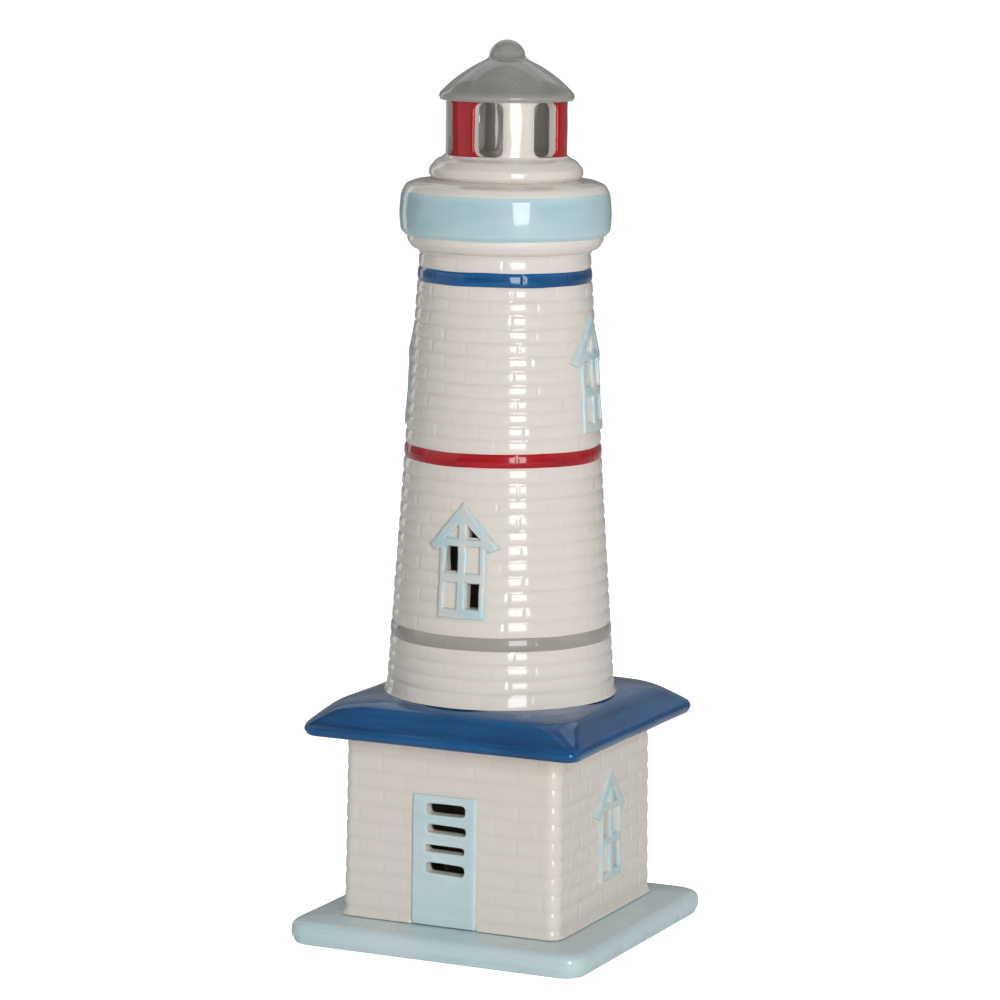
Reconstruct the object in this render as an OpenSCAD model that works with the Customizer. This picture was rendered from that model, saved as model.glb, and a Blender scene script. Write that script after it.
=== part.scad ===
// Ceramic lighthouse tealight lantern.
// A brick keeper's house stands on a plinth and holds a tealight. The tower, its roof slab, gallery and
// lantern are a second casting that lifts off the house. Millimetres, +Z up, door towards -Y,
// origin at the middle of the plinth's underside.

/* [Plinth] */
// Side of the square plinth at its widest
plinth_w = 108; // [104:1:132]
// Height of the plinth
plinth_h = 8.8; // [7.5:0.1:12]
// Radius of the plinth's corners in plan
plinth_corner_r = 7; // [4:0.5:10]
// Rounding of the plinth's top edge
plinth_edge_r = 4; // [2:0.5:5]

/* [House] */
// Side of the square house at its foot
house_w = 79.4; // [76:0.2:96]
// How much narrower the house is at its top
house_taper = 1.2; // [0:0.2:4]
// Height of the house walls
house_h = 61.6; // [58:0.2:80]
// Radius of the house's upright corners
house_corner_r = 4; // [2:0.5:6]
// Thickness of every cast wall
wall = 4; // [3:0.1:5]

/* [Door] */
// Width of the door
door_w = 23; // [18:0.5:28]
// Height of the door
door_h = 44; // [38:0.5:52]
// Sideways place of the door from the middle of the front wall
door_x = -1.4; // [-4:0.2:4]
// How far the door stands proud of the front wall
door_proud = 0.8; // [0.4:0.1:1.5]
// Width of the louvre slots in the door
slot_w = 14.4; // [10:0.2:16]
// Distance from one louvre slot to the next
slot_pitch = 6.65; // [6:0.05:7.5]
// Distance from the top of the door to the middle of the top slot
slot_drop = 4.6; // [4:0.1:6]

/* [Windows] */
// Width of a window between the outsides of its stiles
window_w = 16.4; // [14:0.2:20]
// Height of a window from its sill to the top of its gable
window_h = 38.5; // [36:0.5:44]
// Width across the eaves of a window's gable
window_eaves_w = 25; // [23:0.5:28]
// Drop from the top of the gable to the tips of the eaves
window_gable_h = 15; // [13:0.5:17]
// Width of the sloping boards of a gable
window_board = 3.2; // [2.5:0.1:4]
// Width of one window pane
pane_w = 4.4; // [3.6:0.1:5]
// Height of one window pane
pane_h = 8.5; // [7:0.1:9.5]
// Height of the rails under, between and over the panes
window_rail = 3.4; // [2.6:0.1:4]
// How far a window frame stands proud of its wall
window_proud = 1.2; // [0.6:0.1:2]
// Height of the house windows above the plinth
house_window_z = 11.6; // [6:0.2:16]
// Place of the side windows along the house, behind its middle
house_window_y = 3; // [-6:0.5:6]
// Height of the front and back tower windows above the tower's foot
low_window_z = 29.4; // [24:0.2:36]
// Height of the side tower windows above the tower's foot
high_window_z = 89; // [84:0.5:96]
// Turn of the tower windows about the tower's axis
window_turn = 3.4; // [0:0.1:6]

/* [Roof slab] */
// How far the roof slab reaches past the top of the house
eaves = 11.4; // [9:0.2:16]
// Height of the roof slab
roof_h = 12.2; // [10:0.2:15]
// How much the roof slab draws in from its eaves to its flat top
roof_batter = 7.4; // [4:0.2:8]
// Thickness of the rounded lip around the roof slab
roof_lip_h = 4; // [3:0.2:6]
// Radius of the roof slab's corners in plan
roof_corner_r = 4; // [3:0.5:8]
// Depth of the locating lip under the roof slab
lip_h = 6; // [4:0.5:10]
// Thickness of the locating lip
lip_t = 3; // [2.5:0.1:4]
// Clearance between the locating lip and the house walls
lip_clear = 1; // [0.6:0.1:2]

/* [Tower] */
// Height of the tower from its foot to the gallery
tower_h = 147.4; // [144:0.2:180]
// Diameter of the tower at its foot
tower_foot_d = 77; // [70:0.5:80]
// Diameter of the tower under the gallery
tower_top_d = 57; // [50:0.5:62]
// Height of one coloured brick course
course_h = 4.6; // [4:0.1:6]
// Depth of the groove that a coloured course fills
course_t = 1.4; // [1:0.1:2]
// Height of the grey course above the tower's foot
grey_z = 19; // [12:0.5:24]
// Height of the red course above the tower's foot
red_z = 79.2; // [74:0.2:84]
// Height of the blue course above the tower's foot
blue_z = 138; // [132:0.2:139]

/* [Gallery] */
// Diameter of the gallery band
gallery_d = 70.6; // [66:0.2:85]
// Height of the white moulding under the gallery band
moulding_h = 5.8; // [5:0.2:8]
// Height of the pale blue gallery band
gallery_h = 14.4; // [12:0.2:18]
// Height of the white deck on the gallery band
deck_h = 4; // [3.6:0.2:6]
// Rounding of the gallery's lower and upper edges
gallery_edge_r = 3.4; // [1.6:0.2:3.4]

/* [Lantern] */
// Diameter of the stepped ring under the lantern
step_d = 51.2; // [48:0.2:56]
// Height of the stepped ring
step_h = 8; // [7:0.5:10]
// Outside diameter of the ring of lantern posts
lantern_d = 40.4; // [36:0.2:44]
// Height of the lantern posts
post_h = 18; // [14:0.5:24]
// Number of lantern posts, white and red in turn
posts = 6; // [4:2:8]
// Width of a lantern post as an angle about the axis
post_angle = 31; // [24:1:34]
// Turn of the first white post from the front, about the axis
post_turn = 37; // [30:1:45]
// How far the lantern roof reaches past the posts
roof_rim = 2.3; // [1:0.1:4]
// Height of the lantern roof without its knob
dome_h = 13.6; // [11:0.2:16]
// Radius of the curve of the lantern roof's slope
dome_curve_r = 48; // [30:1:80]
// Diameter of the knob
knob_d = 12.2; // [9:0.2:14]
// Height of the knob's top above the lantern roof
knob_h = 6.2; // [5:0.1:8]

/* [Tealight] */
// Outside diameter of the tealight's cup
cup_d = 38; // [36:0.5:46]
// Height of the tealight's cup
cup_h = 16; // [12:0.5:20]
// Thickness of the cup's wall
cup_t = 0.5; // [0.4:0.1:1]
// Gap between the wax and the top of the cup
wax_gap = 2; // [1:0.5:4]
// Diameter of the wick
wick_d = 1.8; // [1.2:0.1:2.5]
// Length of wick that stands above the wax
wick_h = 6; // [4:0.5:8]
// Diameter of the metal foot that holds the wick
sustainer_d = 13; // [10:0.5:16]
// Height of the metal foot that holds the wick
sustainer_h = 3; // [2:0.5:4]

/* [Hidden] */
$fn = 96;
slice = 0.01;       // thickness of the slices that a hull joins
hull_fn = 32;       // sides of the round corners that a hull joins
past = 1;           // how far a cut runs past the face it leaves

white_glaze = [0.90, 0.87, 0.83];
pale_blue_glaze = [0.70, 0.81, 0.83];
deep_blue_glaze = [0.04, 0.27, 0.58];
red_glaze = [0.66, 0.05, 0.12];
grey_glaze = [0.53, 0.53, 0.51];
bare_clay = [0.84, 0.80, 0.74];
aluminium = [0.80, 0.81, 0.82];
wax_white = [0.95, 0.94, 0.90];
cotton = [0.93, 0.90, 0.82];

house_top_w = house_w - house_taper;
house_top_z = plinth_h + house_h;
slot_heights = [3.8, 2.9, 2.3, 3.6];
slot_x = 0.5;       // sideways place of the slots from the middle of the door
stile = 2.2;        // width of a window's upright sides
gable_rail = 2.7;   // height of the rail between the panes and the gable lights
board_cut = 1.5;    // drop of the cut ends of the gable boards
half_mullion = window_w / 2 - stile - pane_w;
relief_depth = 0.2 + house_taper / 2;   // depth at the foot that the door and windows are set into the walls

roof_w = house_top_w + 2 * eaves;
roof_top_w = roof_w - 2 * roof_batter;
lip_w = house_top_w - 2 * (wall + lip_clear);
slab_bore_r = lip_w / 2 - lip_t - 1;
foot_z = house_top_z + roof_h;

foot_r = tower_foot_d / 2;
top_r = tower_top_d / 2;
moulding_z = foot_z + tower_h;
gallery_z = moulding_z + moulding_h;
deck_z = gallery_z + gallery_h;
step_z = deck_z + deck_h;
post_z = step_z + step_h;
dome_z = post_z + post_h;
gallery_r = gallery_d / 2;
step_r = step_d / 2;
lantern_r = lantern_d / 2;
rim_r = lantern_r + roof_rim;
knob_r = knob_d / 2;
knob_mid_z = dome_z + dome_h + knob_h - knob_r;

cup_r = cup_d / 2;
wax_top_z = plinth_h + cup_h - wax_gap;

// Outside radius of the tower at a height above the tower's foot
function tower_r(h) = foot_r + (top_r - foot_r) * h / tower_h;

// Points of a quarter round of radius r about c, from angle a to angle b
function arc(c, r, a, b, n = 6) = [for (i = [0:n]) let (t = a + (b - a) * i / n) c + r * [cos(t), sin(t)]];

// Slope of the lantern roof from its rim to its top, bulging as an arc of radius dome_curve_r
function dome_slope(n = 10) =
    let (low = [rim_r - 0.2, dome_z + 2.4], high = [knob_r, dome_z + dome_h],
         half = norm(high - low) / 2, way = (high - low) / (2 * half), out = [-way[1], way[0]] * -1,
         mid = (low + high) / 2 - out * sqrt(dome_curve_r * dome_curve_r - half * half),
         a = atan2(low[1] - mid[1], low[0] - mid[0]), b = atan2(high[1] - mid[1], high[0] - mid[0]))
    arc(mid, dome_curve_r, a, b, n);

module rounded_square(w, r) {
    square([w, w - 2 * r], center = true);
    square([w - 2 * r, w], center = true);
    for (x = [-1, 1], y = [-1, 1]) translate([x, y] * (w / 2 - r)) circle(r);
}

// One thin level of a body whose sides a hull joins
module level(w, r, z) {
    translate([0, 0, z]) linear_extrude(slice) rounded_square(w, r, $fn = hull_fn);
}

// A square tapered block with round corners
module tapered_block(w_low, w_high, r, z_low, z_high) {
    hull() {
        level(w_low, r, z_low);
        level(w_high, r, z_high - slice);
    }
}

// Outline of a window: stiles, rails and the boards of its gable, in its own upright plane
module window_outline() {
    side = window_w / 2;
    tip = window_eaves_w / 2;
    gable_z = window_h - window_gable_h;
    polygon([[-side, 0], [side, 0], [side, gable_z], [tip - window_board, gable_z - board_cut], [tip, gable_z],
             [0, window_h], [-tip, gable_z], [window_board - tip, gable_z - board_cut],
             [-side, gable_z]]);
}

// A pane opening: column -1 or 1, row 0 or 1
module pane(column, row) {
    x = column > 0 ? half_mullion : -half_mullion - pane_w;
    translate([x, window_rail + row * (pane_h + window_rail)]) square([pane_w, pane_h]);
}

// A gable light beside the middle post: column -1 or 1
module gable_light(column) {
    low = 2 * (window_rail + pane_h) + gable_rail;
    translate([column * half_mullion, low])
        polygon([[0, 0], [column * pane_w, 0], [0, pane_w]]);
}

// Frame of a window with all its lights left open
module window_frame_2d() {
    difference() {
        window_outline();
        for (column = [-1, 1]) {
            for (row = [0, 1]) pane(column, row);
            gable_light(column);
        }
    }
}

// The lights of a window that are cut right through the wall
module pierced_lights_2d() {
    pane(-1, 1);
    pane(1, 0);
    gable_light(1);
}

// Stands a flat outline upright on the side that faces angle, and pushes it out from depth a to b
module upright(angle, z, a, b, sideways = 0) {
    rotate([0, 0, angle]) translate([sideways, -a, z]) rotate([90, 0, 0]) linear_extrude(b - a) children();
}

module cone_ring(r_low, r_high, t, z, h) {
    translate([0, 0, z]) rotate_extrude()
        polygon([[r_low, 0], [r_low + t, 0], [r_high + t, h], [r_high, h]]);
}

module door_slots() {
    for (i = [0:3])
        translate([slot_x, door_h - slot_drop - i * slot_pitch]) round_slot(slot_w, slot_heights[i]);
}

// A level slot with round ends
module round_slot(w, h) {
    square([w - h, h], center = true);
    for (x = [-1, 1]) translate([x * (w - h) / 2, 0]) circle(h / 2);
}

module plinth() {
    edge = plinth_edge_r * (1 - cos(45));
    color(pale_blue_glaze)
        hull() {
            level(plinth_w - 2.4, plinth_corner_r, 0);
            level(plinth_w - 0.6, plinth_corner_r, 1.2);
            level(plinth_w, plinth_corner_r, 3);
            level(plinth_w, plinth_corner_r, plinth_h - plinth_edge_r);
            level(plinth_w - 2 * edge, plinth_corner_r, plinth_h - edge);
            level(plinth_w - 2 * plinth_edge_r, plinth_corner_r, plinth_h - slice);
        }
}

module house_walls() {
    front = house_w / 2 - relief_depth;
    color(white_glaze)
        difference() {
            tapered_block(house_w, house_top_w, house_corner_r, plinth_h, house_top_z);
            tapered_block(house_w - 2 * wall, house_top_w - 2 * wall, house_corner_r / 2,
                          plinth_h - past, house_top_z + past);
            upright(0, plinth_h, front, front + wall, door_x)
                translate([-door_w / 2, 0]) square([door_w, door_h]);
            upright(0, plinth_h, front - wall, front + past, door_x) door_slots();
            for (side = house_window_sides) {
                upright(side[0], plinth_h + house_window_z, front, front + wall, side[1]) window_frame_2d();
                upright(side[0], plinth_h + house_window_z, front - wall, front + wall, side[1])
                    pierced_lights_2d();
            }
        }
}

// Facing angle and sideways place of the right, left and back house windows
house_window_sides = [[90, house_window_y], [-90, -house_window_y], [180, 0]];

module house_window(side) {
    front = house_w / 2 - relief_depth;
    color(pale_blue_glaze)
        upright(side[0], plinth_h + house_window_z, front, house_w / 2 + window_proud, side[1])
            window_frame_2d();
}

module door_panel() {
    front = house_w / 2 - relief_depth;
    color(pale_blue_glaze)
        upright(0, plinth_h, front, house_w / 2 + door_proud, door_x)
            difference() {
                translate([-door_w / 2, 0]) square([door_w, door_h]);
                door_slots();
            }
}

module house_window_right() { house_window(house_window_sides[0]); }
module house_window_left() { house_window(house_window_sides[1]); }
module house_window_back() { house_window(house_window_sides[2]); }

module roof_slab() {
    color(deep_blue_glaze)
        difference() {
            hull() {
                level(roof_w - 2.4, roof_corner_r, house_top_z);
                level(roof_w - 0.4, roof_corner_r, house_top_z + 1);
                level(roof_w, roof_corner_r, house_top_z + roof_lip_h / 2);
                level(roof_w - 0.8, roof_corner_r, house_top_z + roof_lip_h - 0.6);
                level(roof_top_w + 1.6, roof_corner_r, foot_z - 1);
                level(roof_top_w - 1.6, roof_corner_r, foot_z - slice);
            }
            translate([0, 0, house_top_z - past]) cylinder(r = slab_bore_r, h = roof_h + 2 * past);
        }
}

module locating_lip() {
    color(bare_clay)
        translate([0, 0, house_top_z - lip_h]) linear_extrude(lip_h)
            difference() {
                rounded_square(lip_w, house_corner_r / 2);
                rounded_square(lip_w - 2 * lip_t, house_corner_r / 2);
            }
}

module tower_shell() {
    // The groove of one coloured course, as four points up the outside
    function groove(h) = [[tower_r(h), h], [tower_r(h + course_h) - course_t, h],
                          [tower_r(h + course_h) - course_t, h + course_h],
                          [tower_r(h + course_h), h + course_h]];
    color(white_glaze)
        difference() {
            translate([0, 0, foot_z]) rotate_extrude()
                polygon(concat([[foot_r - wall, 0], [foot_r, 0]], groove(grey_z), groove(red_z), groove(blue_z),
                               [[top_r, tower_h], [top_r - wall, tower_h]]));
            for (side = [0:3])
                upright(side * 90 + window_turn, foot_z + tower_window_z(side), top_r - 2 * wall, foot_r + past)
                    pierced_lights_2d();
        }
}

// Front and back windows are low on the tower, and the side windows are high
function tower_window_z(side) = side % 2 == 0 ? low_window_z : high_window_z;

// A window frame that lies on the round face of the tower; side counts quarter turns from the front
module tower_window(side) {
    z = tower_window_z(side);
    low = z - past;
    high = z + window_h + past;
    color(pale_blue_glaze)
        intersection() {
            upright(side * 90 + window_turn, foot_z + z, top_r - wall, foot_r + 2 * window_proud)
                window_frame_2d();
            cone_ring(tower_r(low), tower_r(high), window_proud, foot_z + low, high - low);
        }
}

module tower_window_front() { tower_window(0); }
module tower_window_right() { tower_window(1); }
module tower_window_back() { tower_window(2); }
module tower_window_left() { tower_window(3); }

// A coloured brick course that fills its groove and stands a little proud of it
module course(h, shade) {
    proud = 0.3;
    inner = tower_r(h + course_h) - course_t;
    color(shade) translate([0, 0, foot_z + h]) rotate_extrude()
        polygon([[inner, 0], [tower_r(h) + proud, 0], [tower_r(h + course_h) + proud, course_h],
                 [inner, course_h]]);
}

module grey_course() { course(grey_z, grey_glaze); }
module red_course() { course(red_z, red_glaze); }
module blue_course() { course(blue_z, deep_blue_glaze); }

module gallery_moulding() {
    outer = gallery_r - gallery_edge_r + 1;
    cove_r = moulding_h - 0.6;
    color(white_glaze) translate([0, 0, moulding_z]) rotate_extrude()
        polygon(concat([[top_r - wall, 0], [top_r + 0.2, 0]],
                       arc([outer - cove_r, moulding_h], cove_r, -75, 0),
                       [[outer - wall, moulding_h]]));
}

module gallery_band() {
    inner = gallery_r - wall - 1;
    color(pale_blue_glaze) translate([0, 0, gallery_z]) rotate_extrude()
        polygon(concat([[inner, 0]],
                       arc([gallery_r - gallery_edge_r, gallery_edge_r], gallery_edge_r, -90, 0),
                       [[gallery_r, gallery_h], [inner, gallery_h]]));
}

module gallery_deck() {
    color(white_glaze) translate([0, 0, deck_z]) rotate_extrude()
        polygon(concat([[step_r - wall, 0]],
                       arc([gallery_r - gallery_edge_r, 0], gallery_edge_r, 0, 90),
                       [[step_r + 1, deck_h], [step_r - wall, deck_h]]));
}

module lantern_step() {
    color(white_glaze) translate([0, 0, step_z]) rotate_extrude()
        polygon(concat([[step_r - wall, 0]],
                       arc([step_r - 2.5, 2.5], 2.5, -60, 60),
                       [[step_r - 2.2, step_h - 2.8]],
                       [[lantern_r + 1, step_h - 1], [lantern_r, step_h], [lantern_r - wall, step_h],
                        [lantern_r - wall, step_h - wall], [step_r - wall, step_h - wall - 1]]));
}

// Every second post of the lantern, from the post numbered first
module lantern_posts(first, shade) {
    color(shade) translate([0, 0, post_z])
        for (i = [first:2:posts - 1])
            rotate([0, 0, post_turn - 90 - post_angle / 2 + i * 360 / posts])
                rotate_extrude(angle = post_angle)
                    translate([lantern_r - wall, 0]) square([wall, post_h]);
}

module lantern_posts_white() { lantern_posts(0, white_glaze); }
module lantern_posts_red() { lantern_posts(1, red_glaze); }

module lantern_roof() {
    ceiling_r = lantern_r - wall;
    color(grey_glaze) rotate_extrude()
        polygon(concat([[ceiling_r, dome_z], [rim_r - 0.8, dome_z], [rim_r, dome_z + 1.2]],
                       dome_slope(),
                       [[0, dome_z + dome_h], [0, dome_z + dome_h - wall], [knob_r / 2, dome_z + dome_h - wall]]));
}

module roof_knob() {
    color(grey_glaze)
        intersection() {
            translate([0, 0, knob_mid_z]) sphere(knob_r);
            translate([0, 0, dome_z + dome_h]) cylinder(r = knob_r + past, h = knob_d);
        }
}

module tealight_cup() {
    color(aluminium)
        difference() {
            translate([0, 0, plinth_h]) cylinder(r = cup_r, h = cup_h);
            translate([0, 0, plinth_h + cup_t]) cylinder(r = cup_r - cup_t, h = cup_h);
        }
}

module tealight_wax() {
    low = plinth_h + cup_t;
    color(wax_white)
        difference() {
            translate([0, 0, low]) cylinder(r = cup_r - cup_t, h = wax_top_z - low);
            translate([0, 0, low - past]) cylinder(r = sustainer_d / 2, h = sustainer_h + past);
            translate([0, 0, low]) cylinder(r = wick_d / 2, h = cup_h);
        }
}

module wick_sustainer() {
    color(aluminium)
        difference() {
            translate([0, 0, plinth_h + cup_t]) cylinder(r = sustainer_d / 2, h = sustainer_h);
            translate([0, 0, plinth_h + 2 * cup_t]) cylinder(r = wick_d / 2, h = sustainer_h);
        }
}

module wick() {
    low = plinth_h + 2 * cup_t;
    color(cotton) translate([0, 0, low]) cylinder(r = wick_d / 2, h = wax_top_z + wick_h - low);
}

plinth();
house_walls();
door_panel();
house_window_right();
house_window_left();
house_window_back();
roof_slab();
locating_lip();
tower_shell();
grey_course();
red_course();
blue_course();
tower_window_front();
tower_window_right();
tower_window_back();
tower_window_left();
gallery_moulding();
gallery_band();
gallery_deck();
lantern_step();
lantern_posts_white();
lantern_posts_red();
lantern_roof();
roof_knob();
tealight_cup();
tealight_wax();
wick_sustainer();
wick();
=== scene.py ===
"""Souvenir lighthouse in glazed ceramic: its looks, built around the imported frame."""

import math

import bmesh
import bpy
from mathutils import Matrix, Vector, noise


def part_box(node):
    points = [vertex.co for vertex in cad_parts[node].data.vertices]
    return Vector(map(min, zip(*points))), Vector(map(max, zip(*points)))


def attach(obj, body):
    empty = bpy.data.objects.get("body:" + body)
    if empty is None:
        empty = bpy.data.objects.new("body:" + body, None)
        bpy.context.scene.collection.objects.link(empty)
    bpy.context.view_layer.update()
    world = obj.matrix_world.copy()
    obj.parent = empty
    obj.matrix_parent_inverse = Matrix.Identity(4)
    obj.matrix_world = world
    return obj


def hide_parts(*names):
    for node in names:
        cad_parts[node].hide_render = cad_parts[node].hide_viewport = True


bl_info = {
    "name": "Souvenir lighthouse",
    "version": (1, 0, 0),
    "blender": (4, 5, 0),
    "location": "3D View > Sidebar > Lighthouse",
    "description": "Glazed ceramic lighthouse on a tealight house, around a fixed frame",
    "category": "Object",
}

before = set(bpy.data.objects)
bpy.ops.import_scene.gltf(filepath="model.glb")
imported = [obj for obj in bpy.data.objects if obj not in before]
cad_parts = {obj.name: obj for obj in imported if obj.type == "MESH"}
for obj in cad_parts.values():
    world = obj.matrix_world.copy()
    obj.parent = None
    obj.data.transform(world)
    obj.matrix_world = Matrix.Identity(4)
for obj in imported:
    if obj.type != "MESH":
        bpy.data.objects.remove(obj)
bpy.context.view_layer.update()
BOXES = {node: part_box(node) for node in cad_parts}

MM = 0.001
FULL_TURN = 2 * math.pi
UP = Vector((0, 0, 1))
HOUSE, TOWER, TEALIGHT = "house", "tower", "tealight"
OWN = "lighthouse_"  # keeps the finishes' names apart from those that come with the frame
MERGE = 1e-6  # points nearer than this become one
PAINT_DEPTH = 1.4 * MM  # how far a painted course reaches into the tower's wall
WALL_SKIN = 0.9 * MM  # depth behind a tower wall's face that takes the bricks
UNDER_FRAME = 0.30 * MM  # how far a wall is cut back under a window or the door
NOISE_SEED = 1

noise.seed_set(NOISE_SEED)  # without a seed, vector noise is shifted by the clock and no two runs agree


# ---------------------------------------------------------------- settings


def length(name, description, size_mm):
    """A property that holds a length; size_mm is its default in millimetres."""
    return bpy.props.FloatProperty(
        name=name, description=description, default=size_mm * MM, unit="LENGTH", precision=5
    )


def turn(name, description, degrees):
    """A property that holds an angle; degrees is its default."""
    return bpy.props.FloatProperty(
        name=name, description=description, default=math.radians(degrees), unit="ROTATION"
    )


def number(name, description, value):
    """A property that holds a plain number."""
    return bpy.props.FloatProperty(name=name, description=description, default=value, precision=4)


def colour(name, description, red, green, blue):
    """A property that holds a linear colour."""
    return bpy.props.FloatVectorProperty(
        name=name, description=description, default=(red, green, blue), size=3,
        subtype="COLOR", min=0, max=1,
    )


class GlazeColours(bpy.types.PropertyGroup):
    """Colours of the glazes and of the tealight"""

    white: colour("White", "White glaze on the walls", 0.80, 0.748, 0.683)
    white_pool: colour("White pooled", "White glaze where it lies thick in a groove", 0.68, 0.62, 0.545)
    pale_blue: colour("Pale blue", "Pale blue glaze", 0.64, 0.775, 0.80)
    pale_blue_pool: colour("Pale blue pooled", "Pale blue glaze where it lies thick", 0.40, 0.61, 0.67)
    deep_blue: colour("Deep blue", "Deep blue glaze where it lies thin", 0.001, 0.105, 0.30)
    deep_blue_pool: colour("Deep blue pooled", "Deep blue glaze where it lies thick", 0.0005, 0.040, 0.13)
    red: colour("Red", "Red glaze where it lies thin", 0.50, 0.002, 0.010)
    red_pool: colour("Red pooled", "Red glaze where it lies thick", 0.26, 0.001, 0.004)
    grey: colour("Grey", "Grey glaze of the lantern roof", 0.37, 0.362, 0.335)
    grey_pool: colour("Grey pooled", "Grey glaze where it lies thick", 0.19, 0.184, 0.168)
    grey_wash: colour("Grey wash", "Thin grey glaze of the grey course", 0.41, 0.375, 0.34)
    clay: colour("Clay", "Bare fired clay", 0.67, 0.60, 0.50)
    metal: colour("Aluminium", "Foil of the tealight", 0.78, 0.79, 0.80)
    wax: colour("Wax", "Candle wax", 0.90, 0.88, 0.81)
    cotton: colour("Cotton", "Wick", 0.84, 0.80, 0.70)


class BrickSizes(bpy.types.PropertyGroup):
    """Bricks modelled on the walls"""

    tower_length: length("Tower brick", "Length of a brick on the tower", 16.0)
    house_length: length("House brick", "Length of a brick on the house", 16.0)
    house_course: length("House course", "Height of a course on the house", 5.87)
    seam: length("Seam", "Half the width of the groove between bricks", 1.0)
    tower_seam_depth: length("Tower seam depth", "Depth of the level grooves on the tower", 0.42)
    tower_joint_depth: length("Tower joint depth", "Depth of the upright grooves on the tower", 0.26)
    house_seam_depth: length("House seam depth", "Depth of the grooves on the house", 0.34)
    waver: length("Waver", "How far a course wanders up and down", 0.22)


class WindowSizes(bpy.types.PropertyGroup):
    """Windows, which are all cast from one pattern"""

    width: length("Width", "Width across the stiles", 16.4)
    height: length("Height", "Height to the top of the gable", 38.5)
    eaves_width: length("Eaves width", "Width across the gable boards", 25)
    gable_height: length("Gable height", "Rise of the gable", 15)
    board: length("Board", "Width of a gable board's end", 3.2)
    board_cut: length("Board cut", "Drop of a gable board's cut end", 1.5)
    pane_width: length("Pane width", "Width of a pane", 4.4)
    pane_height: length("Pane height", "Height of a pane", 8.5)
    rail: length("Rail", "Height of a rail", 3.4)
    gable_rail: length("Gable rail", "Height of the rail under the gable lights", 2.7)
    stile: length("Stile", "Width of a stile", 2.2)
    edge: length("Edge", "Rounding of the frame's edges", 0.75)
    turn_on_tower: turn("Turn", "Turn of the tower's windows from square", 3.4)
    low_z: length("Low window", "Height of the low windows above the tower's foot", 29.4)
    high_z: length("High window", "Height of the high windows above the tower's foot", 89)


class DoorSizes(bpy.types.PropertyGroup):
    """Door and the slots cut in it"""

    slot_width: length("Slot width", "Width of a slot", 14.4)
    slot_pitch: length("Slot pitch", "Drop from one slot to the next", 6.65)
    slot_drop: length("Slot drop", "Drop from the top of the door to the first slot", 4.6)
    slot_side: length("Slot side", "Sideways place of the slots on the door", 0.5)
    edge: length("Edge", "Rounding of the door's edges", 0.5)


class LanternSizes(bpy.types.PropertyGroup):
    """Gallery and lantern"""

    wall: length("Wall", "Thickness of the cast wall", 4)
    post_angle: turn("Post angle", "Angle that a post covers", 31)
    first_post: turn("First post", "Bearing of the first white post", 37)
    dome_curve: length("Dome curve", "Radius of the lantern roof's slope", 48)
    radius: length("Lantern radius", "Outside radius of the posts", 20.2)
    tower_top: length("Tower top", "Outside radius at the top of the tower", 28.5)


class StudioSetup(bpy.types.PropertyGroup):
    """Camera and lights"""

    azimuth: turn("Azimuth", "Bearing of the camera", 24.98)
    elevation: turn("Elevation", "Height of the camera above level", 8.541)
    roll: turn("Roll", "Roll of the camera", 0.624)
    distance: length("Distance", "Distance of the camera", 1383.8)
    target_side: length("Target side", "Sideways place of the point looked at", -0.834)
    target_height: length("Target height", "Height of the point looked at", 146.585)
    lens: number("Lens", "Focal length in millimetres", 148.8)
    key_azimuth: turn("Key azimuth", "Bearing of the main softbox", 42)
    key_power: number("Key power", "Watts of the main softbox", 9.6)
    top_power: number("Top power", "Watts of the overhead softbox", 8.0)
    rim_power: number("Rim power", "Watts of the strip behind on the left", 1.0)
    fill_power: number("Fill power", "Watts of the broad light on the left", 2.9)
    sky: number("Sky", "Strength of the light from the horizon", 0.35)


# ---------------------------------------------------------------- shader maths


class Link:
    """Wraps a socket, so that plain arithmetic on it adds Math nodes."""

    def __init__(self, net, socket):
        self.net = net
        self.socket = socket

    def _math(self, operation, *values, clamp=False):
        return self.net.node(
            "ShaderNodeMath", {"operation": operation, "use_clamp": clamp}, dict(enumerate(values))
        )

    def __add__(self, other):
        return self._math("ADD", self, other)

    def __radd__(self, other):
        return self._math("ADD", other, self)

    def __sub__(self, other):
        return self._math("SUBTRACT", self, other)

    def __rsub__(self, other):
        return self._math("SUBTRACT", other, self)

    def __mul__(self, other):
        return self._math("MULTIPLY", self, other)

    def __rmul__(self, other):
        return self._math("MULTIPLY", other, self)

    def __truediv__(self, other):
        return self._math("DIVIDE", self, other)

    def clamped(self):
        """The value held between 0 and 1."""
        return self._math("ADD", self, 0.0, clamp=True)

    def between(self, low, high):
        """Smooth step from 0 at low to 1 at high."""
        return self.net.node(
            "ShaderNodeMapRange",
            {"interpolation_type": "SMOOTHSTEP"},
            {"Value": self, "From Min": low, "From Max": high},
        )


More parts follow.
